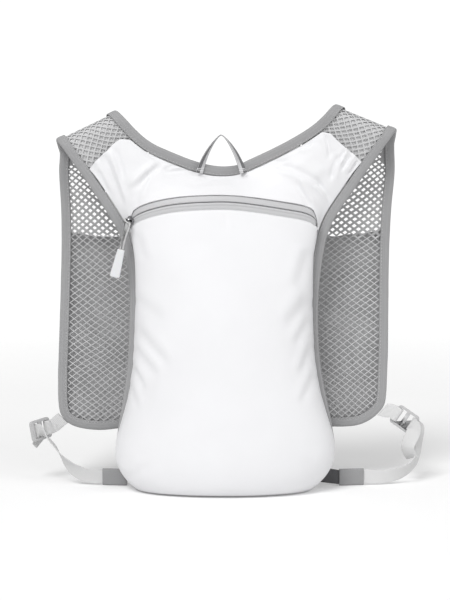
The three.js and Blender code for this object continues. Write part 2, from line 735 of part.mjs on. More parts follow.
function zipTape(from, to) {
  const steps = alongs.filter((along) => bandHalf(along) > zipBand / 4);
  const gap = (along) => seamGap / bandHalf(along);
  const row = (level, toMiddle, wall) =>
    steps.map((along) => bandPoint(along, level + toMiddle * gap(along), wall));
  const skin = (wall) => [row(from, 1, wall), row(to, -1, wall)];
  return solidBetween(skin(0), skin(tapeWall));
}
const shortOfMiddle = 0.02;
add("zip_tape_lower", zipTape(-1, -shortOfMiddle), tapeGrey);
add("zip_tape_upper", zipTape(shortOfMiddle, 1), tapeGrey);

// Yoke: between the zip and the neck, with a gathered end lying on each shoulder
const yokeMargin = bindingWidth + 4 * seamGap;
const inYoke = (station) => station.p.clone().addScaledVector(station.u, yokeMargin);
const mouthRows = {
  left: [
    { across: -0.786, up: 0.8367 },
    { across: -0.753, up: 0.855 },
    { across: -0.715, up: 0.8715 },
    { across: -0.676, up: 0.8867 },
    { across: -0.645, up: 0.9037 },
    { across: -0.606, up: 0.9143 },
    { across: -0.56, up: 0.917 },
  ],
  right: [
    { across: 0.575, up: 0.937 },
    { across: 0.598, up: 0.9337 },
    { across: 0.644, up: 0.913 },
    { across: 0.691, up: 0.894 },
    { across: 0.745, up: 0.8754 },
    { across: 0.792, up: 0.855 },
  ],
};
const mouthShare = 0.2; // share of the yoke's width that each gathered end takes
const gathers = 5;

function yoke() {
  const between = (stations, from, to) => {
    const points = stations.map(inYoke);
    return new THREE.CatmullRomCurve3(points.slice(from, to + 1), false, "centripetal");
  };
  const rise = (side) => {
    const z = bandUp(side === "left" ? 0 : 1);
    const end = mouthRows[side][side === "left" ? 0 : mouthRows[side].length - 1].up * harnessHeight;
    const stations = armholes[side].slice(0, nearSteps).filter(({ p, u }) => {
      const q = p.clone().addScaledVector(u, yokeMargin);
      return q.z > z + 2 && q.z < end - 4;
    });
    return stations.map(inYoke);
  };
  const bottom = (along) => {
    const p = bandPoint(along, 1, 0);
    return vec(p.x, 0, p.z + seamGap);
  };
  const curve = (points) => new THREE.CatmullRomCurve3(points, false, "centripetal");
  const mouthLeft = curve(mouthRows.left.map((row) => flat(row)));
  const mouthRight = curve(mouthRows.right.map((row) => flat(row)));
  const neckPoints = between(neck, neckStart - 1, neckEnd + 1).getPoints(40);
  const clear = neckPoints.filter(
    (p) => p.x > flat(mouthRows.left.at(-1)).x + 3 && p.x < flat(mouthRows.right[0]).x - 3,
  );
  const neckLine = curve([flat(mouthRows.left.at(-1)), ...clear, flat(mouthRows.right[0])]);
  const top = (along) => {
    if (along < mouthShare) return mouthLeft.getPointAt(along / mouthShare);
    if (along > 1 - mouthShare) return mouthRight.getPointAt((along - 1 + mouthShare) / mouthShare);
    return neckLine.getPointAt((along - mouthShare) / (1 - 2 * mouthShare));
  };
  const leftSide = curve([bottom(0), ...rise("left"), top(0)]);
  const rightSide = curve([bottom(1), ...rise("right"), top(1)]);
  const place = (along, share) => {
    const p = bottom(along).lerp(top(along), share);
    const left = leftSide.getPointAt(share).sub(bottom(0).lerp(top(0), share));
    const right = rightSide.getPointAt(share).sub(bottom(1).lerp(top(1), share));
    return p.addScaledVector(left, (1 - along) ** 3).addScaledVector(right, along ** 3);
  };
  const proud = (along, share) => {
    const belly = Math.max(-bandPoint(along, 1, 0).y + yokePlane, 0);
    const shoulder = Math.max(1 - along / mouthShare, 1 - (1 - along) / mouthShare, 0);
    const ripple = 0.6 + 0.4 * Math.cos((2 * Math.PI * gathers * Math.min(along, 1 - along)) / mouthShare);
    const mouth = mouthLift * smooth(shoulder, 0, 0.35) * (1 - smooth(shoulder, 0.85, 1));
    const folds = yokeFolds.reduce((sum, fold) => {
      const off = (along - fold.along - fold.slant * (fold.rise - share)) / fold.broad;
      const reach = (share - fold.rise) / 0.38;
      return sum + fold.high * mouthLift * Math.exp(-off * off - reach * reach);
    }, 0);
    const edge = Math.sin(Math.PI * Math.min(along, 1 - along)) ** 0.5 * Math.sin(Math.PI * share) ** 0.5;
    return belly * (1 - share) ** 1.4 + mouth * smooth(share, 0.45, 1) * ripple + folds * edge;
  };
  const skin = (wall) =>
    Array.from({ length: yokeLevels + 1 }, (_, r) =>
      alongs.map((along) => {
        const share = r / yokeLevels;
        const p = place(along, share);
        return p.setY(yokePlane - proud(along, share) - wall);
      }),
    );
  return solidBetween(skin(yokeWall), skin(0));
}
add("yoke", yoke(), clothWhite);

// Hang loop: a ribbon standing on its sewn ends in front of the neck binding
function hangLoop() {
  const [middle, half] = [loopMiddle * halfWidth, loopSpan / 2];
  const foot = Math.min(...neckRows.map((row) => row.up)) * harnessHeight - bindingWidth / 2;
  const faceY = Math.min(-bindingHalf, yokePlane - yokeWall) - 2 * seamGap - loopWall / 2;
  const rows = [
    { out: 1.03, rise: -0.05, twist: 0.36 },
    { out: 0.98, rise: 0.05, twist: 0.4 },
    { out: 0.85, rise: 0.26, twist: 0.5 },
    { out: 0.64, rise: 0.53, twist: 0.68 },
    { out: 0.38, rise: 0.78, twist: 0.86 },
    { out: 0.16, rise: 0.94, twist: 0.98 },
    { out: 0.03, rise: 1, twist: 1 },
  ];
  const leg = (s) =>
    rows.map((row) => ({
      p: vec(
        middle + s * row.out * half,
        faceY - (Math.sin((row.twist * Math.PI) / 2) * loopWidth) / 2,
        foot + row.rise * loopRise,
      ),
      s,
      twist: row.twist,
    }));
  const path = [...leg(-1), ...leg(1).toReversed()];
  const stations = path.map(({ p, s, twist }, i) => {
    const [after, before] = [path[Math.min(i + 1, path.length - 1)], path[Math.max(i - 1, 0)]];
    const along = after.p.clone().sub(before.p).normalize();
    const face = vec(along.z, 0, -along.x).normalize();
    const angle = (twist * Math.PI) / 2;
    const u = face.clone().multiplyScalar(s * Math.cos(angle)).addScaledVector(front, Math.sin(angle));
    const v = vec().crossVectors(along, u).normalize();
    return { p, u: vec().crossVectors(v, along).normalize(), v };
  });
  const [w, t] = [loopWidth / 2, loopWall / 2];
  return sweep(stations, [
    [-w, -t],
    [w, -t],
    [w, t],
    [-w, t],
  ]);
}
add("hang_loop", hangLoop(), darkGrey);

// Zip slider at the left end of the zip, its cord and the moulded grip
const sliderAlong = 0.112;
const sliderSpot = bandPoint(sliderAlong, 0, 0);
const tapeLine = bandPoint(sliderAlong + 0.02, 0, 0).sub(sliderSpot);
const sliderTurn = Math.atan2(tapeLine.z, tapeLine.x);

function roundedBar(width, height, radius) {
  const shape = new THREE.Path();
  const [x, y] = [width / 2, height / 2];
  shape.moveTo(-x + radius, -y);
  shape.lineTo(x - radius, -y);
  shape.absarc(x - radius, -y + radius, radius, -Math.PI / 2, 0, false);
  shape.lineTo(x, y - radius);
  shape.absarc(x - radius, y - radius, radius, 0, Math.PI / 2, false);
  shape.lineTo(-x + radius, y);
  shape.absarc(-x + radius, y - radius, radius, Math.PI / 2, Math.PI, false);
  shape.lineTo(-x, -y + radius);
  shape.absarc(-x + radius, -y + radius, radius, Math.PI, 1.5 * Math.PI, false);
  return new THREE.Shape(shape.getPoints(3).slice(0, -1));
}

const bridgeHeight = cordDiameter + 2 * seamGap + 2 * sliderWall;
function zipSlider() {
  const plate = new THREE.ExtrudeGeometry(roundedBar(sliderLength, sliderWidth, sliderWidth / 3), {
    depth: sliderWall,
    bevelEnabled: false,
    curveSegments: 3,
  });
  const bar = sliderWall;
  const arch = new THREE.Shape();
  const [reach, top] = [sliderLength / 2 - bar / 2, bridgeHeight];
  arch.moveTo(-reach, 0.5 * sliderWall);
  arch.lineTo(-reach, top - bar);
  arch.lineTo(-reach + bar, top);
  arch.lineTo(reach - bar, top);
  arch.lineTo(reach, top - bar);
  arch.lineTo(reach, 0.5 * sliderWall);
  arch.lineTo(reach - bar, 0.5 * sliderWall);
  arch.lineTo(reach - bar, top - bar);
  arch.lineTo(-reach + bar, top - bar);
  arch.lineTo(-reach + bar, 0.5 * sliderWall);
  const bridge = new THREE.ExtrudeGeometry(arch, { depth: 2 * bar, bevelEnabled: false });
  bridge.translate(0, 0, -bar).rotateX(Math.PI / 2);
  return fromManifold(toManifold(plate).add(toManifold(bridge)));
}
const sliderStand = 2 * seamGap + 1.2;
const slider = add("zip_slider", zipSlider(), metal);
const outward = vec(Math.sin(Math.PI * sliderAlong) - 1, -1, 0.25).normalize();
const sliderAxes = new THREE.Matrix4();
const sliderX = tapeLine.clone().normalize();
const sliderZ = outward.clone().addScaledVector(sliderX, -outward.dot(sliderX)).normalize();
sliderAxes.makeBasis(sliderX, vec().crossVectors(sliderZ, sliderX), sliderZ);
slider.quaternion.setFromRotationMatrix(sliderAxes);
slider.position.copy(sliderSpot).addScaledVector(sliderZ, sliderStand);

// The cord hangs under the bridge, a little to the left, and its two runs go into the grip
const hangLean = THREE.MathUtils.degToRad(-14);
const cordHigh = sliderStand + bridgeHeight - sliderWall - cordDiameter / 2 - seamGap;
const cordTop = sliderSpot.clone().addScaledVector(sliderZ, cordHigh);
const down = vec(Math.sin(hangLean), 0, -Math.cos(hangLean));
const acrossTab = vec(Math.cos(hangLean), 0, Math.sin(hangLean));
const clearOfBag = vec(0, -1, 0);
function pullCord() {
  const run = cordDiameter * 0.75;
  const through = vec().crossVectors(sliderX, sliderZ);
  const round = sliderWall + cordDiameter / 2 + seamGap; // bridge to the middle of the cord, across the zip
  const over = sliderWall + cordDiameter + 2 * seamGap; // under the bridge to over it
  const spot = ({ along = 0, above = 0, fall = 0, side = 0, clear = 0 }) =>
    cordTop
      .clone()
      .addScaledVector(through, along * round)
      .addScaledVector(sliderZ, above * over)
      .addScaledVector(down, fall * cordDrop)
      .addScaledVector(acrossTab, side * run)
      .addScaledVector(clearOfBag, clear * cordDiameter);
  const points = [
    { fall: 1, side: -1, clear: 1.1 },
    { fall: 0.55, side: -1, clear: 0.9 },
    { along: 1.7, side: -0.6, clear: 0.3 },
    { along: 0.6 },
    { along: -1.1, above: 0.05 },
    { along: -1.4, above: 0.5 },
    { along: -0.7, above: 1.05, side: 0.1 },
    { along: 0.6, above: 1.1, side: 0.3 },
    { along: 1.8, above: 0.9, side: 0.7 },
    { fall: 0.55, side: 1, clear: 1.9 },
    { fall: 1, side: 1, clear: 1.1 },
  ].map(spot);
  const curve = new THREE.CatmullRomCurve3(points, false, "centripetal");
  const ring = new THREE.Shape();
  ring.absarc(0, 0, cordDiameter / 2, 0, 2 * Math.PI, false);
  const form = { steps: 30, curveSegments: 4, extrudePath: curve, bevelEnabled: false };
  return new THREE.ExtrudeGeometry(ring, form);
}
add("pull_cord", pullCord(), clothWhite);

function pullTab() {
  const shape = new THREE.Shape();
  const [top, bottom, long, round] = [tabWidth * 0.36, tabWidth / 2, tabLength, tabWidth * 0.2];
  shape.moveTo(-top, 0);
  shape.lineTo(-bottom, -long + round);
  shape.quadraticCurveTo(-bottom, -long, -bottom + round, -long);
  shape.lineTo(bottom - round, -long);
  shape.quadraticCurveTo(bottom, -long, bottom, -long + round);
  shape.lineTo(top, 0);
  const edge = tabThickness * 0.2;
  const made = new THREE.ExtrudeGeometry(shape, {
    depth: tabThickness - 2 * edge,
    bevelThickness: edge,
    bevelSize: edge,
    bevelOffset: -edge,
    bevelSegments: 1,
    curveSegments: 3,
  });
  return made.translate(0, 0, edge - tabThickness / 2).rotateX(Math.PI / 2);
}
const tab = add("pull_tab", pullTab(), plasticGrey);
tab.rotation.y = -hangLean;
tab.position.copy(cordTop).addScaledVector(down, cordDrop + seamGap);
tab.position.addScaledVector(clearOfBag, 1.1 * cordDiameter);

// Side straps: an elastic end on the chest panel, a buckle, webbing, and a cloth sleeve at the bag's base.
// go, back and rise are shares of the way from the sleeve to the buckle, along X, Y and Z.
// roll turns the webbing about its run, from flat towards the front to edge on at 90 degrees.
const strapRows = {
  left: [
    { go: 0.1, rise: 0, back: 0.03, roll: 0 },
    { go: 0.26, rise: 0.02, back: 0.1, roll: 8 },
    { go: 0.42, rise: 0.12, back: 0.2, roll: 24 },
    { go: 0.55, rise: 0.27, back: 0.32, roll: 48 },
    { go: 0.66, rise: 0.46, back: 0.46, roll: 74 },
    { go: 0.77, rise: 0.67, back: 0.62, roll: 88 },
    { go: 0.87, rise: 0.83, back: 0.78, roll: 84 },
    { go: 0.94, rise: 0.93, back: 0.9, roll: 62 },
  ],
  right: [
    { go: 0.17, rise: -0.01, back: 0.02, roll: 0 },
    { go: 0.38, rise: 0, back: 0.07, roll: 8 },
    { go: 0.6, rise: 0.05, back: 0.16, roll: 22 },
    { go: 0.79, rise: 0.15, back: 0.29, roll: 42 },
    { go: 0.92, rise: 0.3, back: 0.45, roll: 58 },
    { go: 0.97, rise: 0.5, back: 0.64, roll: 60 },
    { go: 0.99, rise: 0.72, back: 0.84, roll: 50 },
  ],
};

// The free end of the webbing beyond the buckle, in shares of its length
const tailRows = {
  left: [
    { go: -0.133, back: 0.333, drop: 0.333 },
    { go: 0, back: 0.6, drop: 0.667 },
    { go: 0.333, back: 0.733, drop: 1 },
  ],
  right: [
    { go: -0.03, back: -0.091, drop: 0.212, roll: 0 },
    { go: -0.152, back: -0.182, drop: 0.424, roll: 10 },
    { go: -0.212, back: -0.212, drop: 0.636, roll: 25 },
    { go: -0.152, back: -0.182, drop: 0.848, roll: 35 },
    { go: -0.061, back: -0.152, drop: 1, roll: 40 },
  ],
};
const sleeveStart = { left: 0.58, right: 0.676 }; // inner end of each sleeve, share of halfWidth
const sleeveHalf = webWidth / 2 + seamGap + sleeveWall;
const sleeveDeep = webWall / 2 + seamGap + sleeveWall;
const sleeveBack = bindingHalf + seamGap + sleeveDeep; // middle of the sleeve behind the back's middle plane

// Each buckle hangs beyond the lower outer corner of its chest panel. lean is below level, swing forwards.
const buckleRows = {
  left: { out: 25.6, drop: 8.5, lean: 10, swing: 45 },
  right: { out: 26.5, drop: 8, lean: 34, swing: 12 },
};
const corner = hemRows.findIndex((row) => row.out < 0.95); // where the elastic is sewn on
function buckleFrame(side) {
  const s = signOf[side];
  const row = buckleRows[side];
  const [lean, swing] = [row.lean, row.swing].map(THREE.MathUtils.degToRad);
  const level = vec(s * Math.cos(lean), 0, -Math.sin(lean));
  const out = level.clone().multiplyScalar(Math.cos(swing)).addScaledVector(front, Math.sin(swing));
  const width = vec().crossVectors(front, level).multiplyScalar(s);
  const normal = vec().crossVectors(out, width).multiplyScalar(s);
  const sewn = chestEdges(side).hem[corner];
  const innerBar = barLength + slotLength;
  const centre = sewn
    .clone()
    .add(vec(s * row.out, 0, -row.drop))
    .addScaledVector(front, Math.sin(swing) * innerBar);
  return { out, width, normal, centre };
}

const slotLength = (buckleLength - 3 * barLength) / 2;
function buckle() {
  const flatPiece = (outline, thick) => {
    const made = new THREE.ExtrudeGeometry(outline, { depth: thick, bevelEnabled: false });
    return toManifold(made.translate(0, 0, -thick / 2));
  };
  let frame = flatPiece(roundedBar(buckleLength, buckleWidth, 3.5), buckleThickness);
  for (const s of [-1, 1]) {
    const [x, y] = [(s * (barLength + slotLength)) / 2, webWidth / 2 + 0.8];
    const half = slotLength / 2;
    const slot = [
      [x - half, -y],
      [x + half, -y],
      [x + half, y],
      [x - half, y],
    ];
    const outline = new THREE.Shape(slot.map((at) => new THREE.Vector2(...at)));
    frame = frame.subtract(flatPiece(outline, 2 * buckleThickness));
  }
  return fromManifold(frame);
}

function ribbon(points, widths, width, wall, squareFrom = 0) {
  const stations = points.map((p, i) => {
    const [after, before] = [points[Math.min(i + 1, points.length - 1)], points[Math.max(i - 1, 0)]];
    const along = after.clone().sub(before).normalize();
    const square = widths[i].clone().addScaledVector(along, -widths[i].dot(along)).normalize();
    const u = i < squareFrom ? widths[i].clone() : square;
    return { p, u, v: vec().crossVectors(along, square).normalize() };
  });
  const [w, t] = [width / 2, wall / 2];
  return sweep(stations, [
    [-w, -t],
    [w, -t],
    [w, t],
    [-w, t],
  ]);
}

// Webbing's width where it runs in the XZ plane: roll 0 shows its face to the front
function rolledWidth(along, roll, s) {
  const level = vec(-s * along.z, 0, s * along.x).normalize();
  const turn = THREE.MathUtils.degToRad(roll);
  return level.multiplyScalar(Math.cos(turn)).addScaledVector(front, Math.sin(turn));
}

function elasticEnd(side) {
  const { out, width, normal, centre } = buckleFrame(side);
  const bar = centre.clone().addScaledVector(out, -(barLength + slotLength));
  const clear = buckleThickness / 2 + elasticWall / 2 + 2 * seamGap;
  const turn = barLength / 2 + elasticWall / 2 + 2 * seamGap;
  const at = (along, over) =>
    bar.clone().addScaledVector(out, along * turn).addScaledVector(normal, over * clear);
  const hem = chestEdges(side).hem;
  const edge = hem[corner - 1].clone().sub(hem[corner + 1]).normalize();
  const away = vec().crossVectors(edge, front).multiplyScalar(signOf[side]);
  const start = hem[corner].clone().lerp(hem[corner - 1], 0.35).addScaledVector(away, 3 * seamGap);
  const onBar = at(-1.3, 1);
  const points = [
    start,
    start.clone().lerp(onBar, 0.5),
    onBar,
    at(0, 1.2),
    at(0.8, 1),
    at(1.05, 0),
    at(0.8, -0.9),
    at(0, -1.1),
    at(-1.1, -1.1),
  ];
  const skewed = edge.clone().multiplyScalar(Math.sign(edge.dot(width)));
  return ribbon(points, [skewed, ...points.slice(1).map(() => width)], webWidth, elasticWall, 1);
}

function strapSleeve() {
  const sleeve = roundedBar(2 * sleeveDeep, 2 * sleeveHalf, sleeveDeep * 0.8);
  const [x, y] = [webWall / 2 + seamGap, webWidth / 2 + seamGap];
  sleeve.holes.push(
    new THREE.Path([
      new THREE.Vector2(-x, -y),
      new THREE.Vector2(-x, y),
      new THREE.Vector2(x, y),
      new THREE.Vector2(x, -y),
    ]),
  );
  return welded(new THREE.ExtrudeGeometry(sleeve, { depth: sleeveLength, bevelEnabled: false }));
}

// Webbing: out of the sleeve, up through the air, through the outer slot of the buckle and on as a tail
function sideStrap(side, from, axis) {
  const s = signOf[side];
  const { out, width, normal, centre } = buckleFrame(side);
  const bar = centre.clone().addScaledVector(out, barLength + slotLength);
  const clear = buckleThickness / 2 + webWall / 2 + 2 * seamGap;
  const turn = barLength / 2 + webWall / 2 + 2 * seamGap;
  const at = (along, over) =>
    bar.clone().addScaledVector(out, along * turn).addScaledVector(normal, over * clear);
  const inside = from.clone().addScaledVector(axis, sleeveLength * 0.45);
  const lip = from.clone().addScaledVector(axis, sleeveLength + 1);
  const through = {
    left: [at(-1.8, 2), at(-1.5, 0.9), at(-1.45, -0.2), at(-1.6, -1.2)],
    right: [at(1.9, -2.4), at(0.4, -1.25), at(-0.75, -1), at(-1.1, 0), at(-0.7, 1), at(0.4, 1.5)],
  }[side];
  const tails = tailRows[side];
  const long = side === "left" ? tailLeft : tailRight;
  const tail = tails.map((row) =>
    through.at(-1).clone().add(vec(row.go, row.back, -row.drop).multiplyScalar(long)),
  );
  const reach = through[0].clone().sub(lip);
  const route = strapRows[side].map((row) =>
    lip.clone().add(vec(row.go * reach.x, row.back * reach.y, row.rise * reach.z)),
  );
  const points = [inside, lip, ...route, ...through, ...tail];
  const held = width.clone().multiplyScalar(side === "left" ? 1 : -1);
  const rolls = [...strapRows[side], ...through, ...tails].map((row) => row.roll);
  const widths = points.map((_, i) => {
    if (i < 2) return vec(0, 0, 1);
    if (rolls[i - 2] === undefined && i > 2 + route.length) return held;
    const along = points[Math.min(i + 1, points.length - 1)].clone().sub(points[i - 1]).normalize();
    const rolled = rolledWidth(along, rolls[i - 2] ?? 30, s);
    return i > 2 + route.length && rolled.dot(held) < 0 ? rolled.negate() : rolled;
  });
  return ribbon(points, widths, webWidth, webWall);
}

for (const side of ["left", "right"]) {
  const s = signOf[side];
  const { out, width, centre } = buckleFrame(side);
  const frame = add(`buckle_${side}`, buckle(), plasticGrey);
  const axes = new THREE.Matrix4().makeBasis(out, width, vec().crossVectors(out, width));
  frame.quaternion.setFromRotationMatrix(axes);
  frame.position.copy(centre);
  add(`elastic_${side}`, elasticEnd(side), webGrey);
  const axis = vec(s, 0.12, 0).normalize();
  const upward = vec(0, 0, 1);
  const from = vec(s * sleeveStart[side] * halfWidth, sleeveBack, sleeveHalf);
  const cloth = add(`strap_sleeve_${side}`, strapSleeve(), darkGrey);
  const across = vec().crossVectors(upward, axis);
  cloth.quaternion.setFromRotationMatrix(new THREE.Matrix4().makeBasis(across, upward, axis));
  cloth.position.copy(from);
  add(`side_strap_${side}`, sideStrap(side, from, axis), webGrey);
}

// Doubled cloth that joins the right sleeve to the corner of the bag
function strapAnchor() {
  const [from, to] = [anchorStart * halfWidth, sleeveStart.right * halfWidth - seamGap];
  const [low, high] = [sleeveHalf - webWidth / 2, sleeveHalf + webWidth / 2];
  const outline = [
    [from, high + webWidth * 0.3],
    [from, low + webWidth * 0.2],
    [to, low],
    [to, high],
  ];
  return prism(outline, sleeveBack - anchorWall / 2, sleeveBack + anchorWall / 2);
}
add("strap_anchor_right", strapAnchor(), darkGrey);

// The frame's origin is the middle of the flat that the bag stands on.
group.position.y = baseDepth / 2 - shellPlane;

export default group;
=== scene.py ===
import bisect
import math
import random

import bmesh
import bpy
from mathutils import Matrix, Vector, noise


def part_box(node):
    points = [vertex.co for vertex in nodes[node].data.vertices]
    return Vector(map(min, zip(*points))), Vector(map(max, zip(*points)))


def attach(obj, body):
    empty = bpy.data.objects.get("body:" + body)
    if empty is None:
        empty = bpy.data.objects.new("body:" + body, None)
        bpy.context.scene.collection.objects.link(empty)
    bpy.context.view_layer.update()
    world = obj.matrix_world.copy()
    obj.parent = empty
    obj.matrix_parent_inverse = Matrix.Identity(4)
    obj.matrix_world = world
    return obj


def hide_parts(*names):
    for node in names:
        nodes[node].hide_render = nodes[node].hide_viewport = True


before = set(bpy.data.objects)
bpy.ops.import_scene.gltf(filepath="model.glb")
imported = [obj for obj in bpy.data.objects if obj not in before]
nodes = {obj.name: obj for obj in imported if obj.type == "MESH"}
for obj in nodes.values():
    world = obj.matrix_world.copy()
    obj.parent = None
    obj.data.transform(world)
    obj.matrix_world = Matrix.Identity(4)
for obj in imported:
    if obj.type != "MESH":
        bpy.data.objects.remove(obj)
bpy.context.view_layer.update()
mm = 0.001
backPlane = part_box("back_panel")[0].y + 1 * mm  # middle of the flat back

# noise vectors start from the clock unless a seed is set
noise.seed_set(7)


# ---- camera first, then the pieces from the bag outwards

cameraSet = dict(place=(0.0, backPlane - 1.9, 0.400), aim=(0.0, backPlane, 0.197), lens=110.2)


def makeCamera(s):
    data = bpy.data.cameras.new("viewCamera")
    data.lens = s["lens"]
    data.sensor_width = 36
    camera = bpy.data.objects.new("viewCamera", data)
    bpy.context.scene.collection.objects.link(camera)
    camera.location = s["place"]
    camera.rotation_euler = (Vector(s["aim"]) - Vector(s["place"])).to_track_quat("-Z", "Y").to_euler()
    bpy.context.scene.camera = camera


makeCamera(cameraSet)
print("stage: camera")


# ---- shader groups that several finishes share


def newGroup(name, inputs, outputs):
    group = bpy.data.node_groups.new(name, "ShaderNodeTree")
    for label, kind, value in inputs:
        socket = group.interface.new_socket(name=label, in_out="INPUT", socket_type=kind)
        if value is not None:
            socket.default_value = value
    for label in outputs:
        group.interface.new_socket(name=label, in_out="OUTPUT", socket_type="NodeSocketFloat")
    return group, group.nodes.new("NodeGroupInput"), group.nodes.new("NodeGroupOutput")


def mathNode(tree, kind, a, b=None, c=None):
    node = tree.nodes.new("ShaderNodeMath")
    node.operation = kind
    for i, value in enumerate((a, b, c)):
        if value is None:
            continue
        if isinstance(value, (int, float)):
            node.inputs[i].default_value = value
        else:
            tree.links.new(value, node.inputs[i])
    return node.outputs[0]


def splitVector(tree, vector):
    node = tree.nodes.new("ShaderNodeSeparateXYZ")
    tree.links.new(vector, node.inputs[0])
    return node.outputs


# a wavy stripe from 0 to 1: value times count turns
def stripe(tree, value, count, sharp=1.0):
    wave = mathNode(tree, "SINE", mathNode(tree, "MULTIPLY", value, count))
    return mathNode(tree, "POWER", mathNode(tree, "MULTIPLY_ADD", wave, 0.5, 0.5), sharp)


def noiseValue(tree, vector, scale, detail=3.0, rough=0.55):
    node = tree.nodes.new("ShaderNodeTexNoise")
    node.inputs["Scale"].default_value = scale
    node.inputs["Detail"].default_value = detail
    node.inputs["Roughness"].default_value = rough
    tree.links.new(vector, node.inputs["Vector"])
    return node.outputs["Fac"]


# over and under threads of a plain weave, on two directions of the vector
def weaveGroup():
    tree, source, sink = newGroup(
        "plainWeave",
        [("Vector", "NodeSocketVector", None), ("Threads", "NodeSocketFloat", 2000.0)],
        ["Height", "Shade"],
    )
    x, y, z = splitVector(tree, source.outputs["Vector"])
    across = mathNode(tree, "MULTIPLY", mathNode(tree, "ADD", x, y), source.outputs["Threads"])
    up = mathNode(tree, "MULTIPLY", z, source.outputs["Threads"])
    a = mathNode(tree, "SINE", across)
    b = mathNode(tree, "SINE", up)
    product = mathNode(tree, "MULTIPLY", a, b)
    fuzz = noiseValue(tree, source.outputs["Vector"], 900.0)
    height = mathNode(tree, "MULTIPLY_ADD", fuzz, 0.5, mathNode(tree, "MULTIPLY", product, 0.5))
    tree.links.new(height, sink.inputs["Height"])
    tree.links.new(mathNode(tree, "MULTIPLY_ADD", product, 0.5, 0.5), sink.inputs["Shade"])
    return tree


# small loops of a knit, with a fuzzy surface
def knitGroup():
    tree, source, sink = newGroup(
        "knitLoops",
        [("Vector", "NodeSocketVector", None), ("Loops", "NodeSocketFloat", 1100.0)],
        ["Height", "Shade"],
    )
    cells = tree.nodes.new("ShaderNodeTexVoronoi")
    cells.feature = "F1"
    cells.inputs["Randomness"].default_value = 0.45
    tree.links.new(source.outputs["Vector"], cells.inputs["Vector"])
    tree.links.new(source.outputs["Loops"], cells.inputs["Scale"])
    loops = mathNode(tree, "SUBTRACT", 1.0, cells.outputs["Distance"])
    fuzz = noiseValue(tree, source.outputs["Vector"], 1600.0, 2.0)
    tree.links.new(mathNode(tree, "MULTIPLY_ADD", fuzz, 0.35, loops), sink.inputs["Height"])
    tree.links.new(mathNode(tree, "MULTIPLY", loops, loops), sink.inputs["Shade"])
    return tree


# ribs along a tape and picks across it, on a UV map in metres
def ribGroup():
    tree, source, sink = newGroup(
        "wovenRibs",
        [
            ("Vector", "NodeSocketVector", None),
            ("Ribs", "NodeSocketFloat", 4000.0),
            ("Picks", "NodeSocketFloat", 9000.0),
            ("Balance", "NodeSocketFloat", 0.5),
        ],
        ["Height", "Shade"],
    )
    x, y, z = splitVector(tree, source.outputs["Vector"])
    ribs = mathNode(tree, "SINE", mathNode(tree, "MULTIPLY", x, source.outputs["Ribs"]))
    picks = mathNode(tree, "SINE", mathNode(tree, "MULTIPLY", y, source.outputs["Picks"]))
    mixed = mathNode(tree, "MULTIPLY", picks, source.outputs["Balance"])
    rest = mathNode(tree, "SUBTRACT", 1.0, source.outputs["Balance"])
    total = mathNode(tree, "MULTIPLY_ADD", ribs, rest, mixed)
    half = mathNode(tree, "MULTIPLY_ADD", total, 0.5, 0.5)
    fuzz = noiseValue(tree, source.outputs["Vector"], 1500.0, 2.0)
    tree.links.new(mathNode(tree, "MULTIPLY_ADD", fuzz, 0.3, half), sink.inputs["Height"])
    tree.links.new(half, sink.inputs["Shade"])
    return tree


# slow blotches and fine specks that keep a surface from being one flat colour
def handledGroup():
    tree, source, sink = newGroup(
        "handledTone",
        [("Vector", "NodeSocketVector", None), ("Patches", "NodeSocketFloat", 14.0)],
        ["Tone", "Specks"],
    )
    slow = tree.nodes.new("ShaderNodeTexNoise")
    slow.inputs["Detail"].default_value = 4
    tree.links.new(source.outputs["Vector"], slow.inputs["Vector"])
    tree.links.new(source.outputs["Patches"], slow.inputs["Scale"])
    fine = noiseValue(tree, source.outputs["Vector"], 700.0, 2.0)
    tree.links.new(slow.outputs["Fac"], sink.inputs["Tone"])
    tree.links.new(mathNode(tree, "GREATER_THAN", fine, 0.68), sink.inputs["Specks"])
    return tree


groups = {"weave": weaveGroup(), "knit": knitGroup(), "ribs": ribGroup(), "handled": handledGroup()}


def placeGroup(tree, key, vector, **values):
    node = tree.nodes.new("ShaderNodeGroup")
    node.node_tree = groups[key]
    tree.links.new(vector, node.inputs["Vector"])
    for label, value in values.items():
        node.inputs[label].default_value = value
    return node.outputs


# mixes two colours by a value
def mixColours(tree, factor, a, b):
    node = tree.nodes.new("ShaderNodeMix")
    node.data_type = "RGBA"
    tree.links.new(factor, node.inputs["Factor"])
    for socket, value in ((node.inputs["A"], a), (node.inputs["B"], b)):
        if isinstance(value, tuple):
            socket.default_value = (*value, 1)
        else:
            tree.links.new(value, socket)
    return node.outputs["Result"]


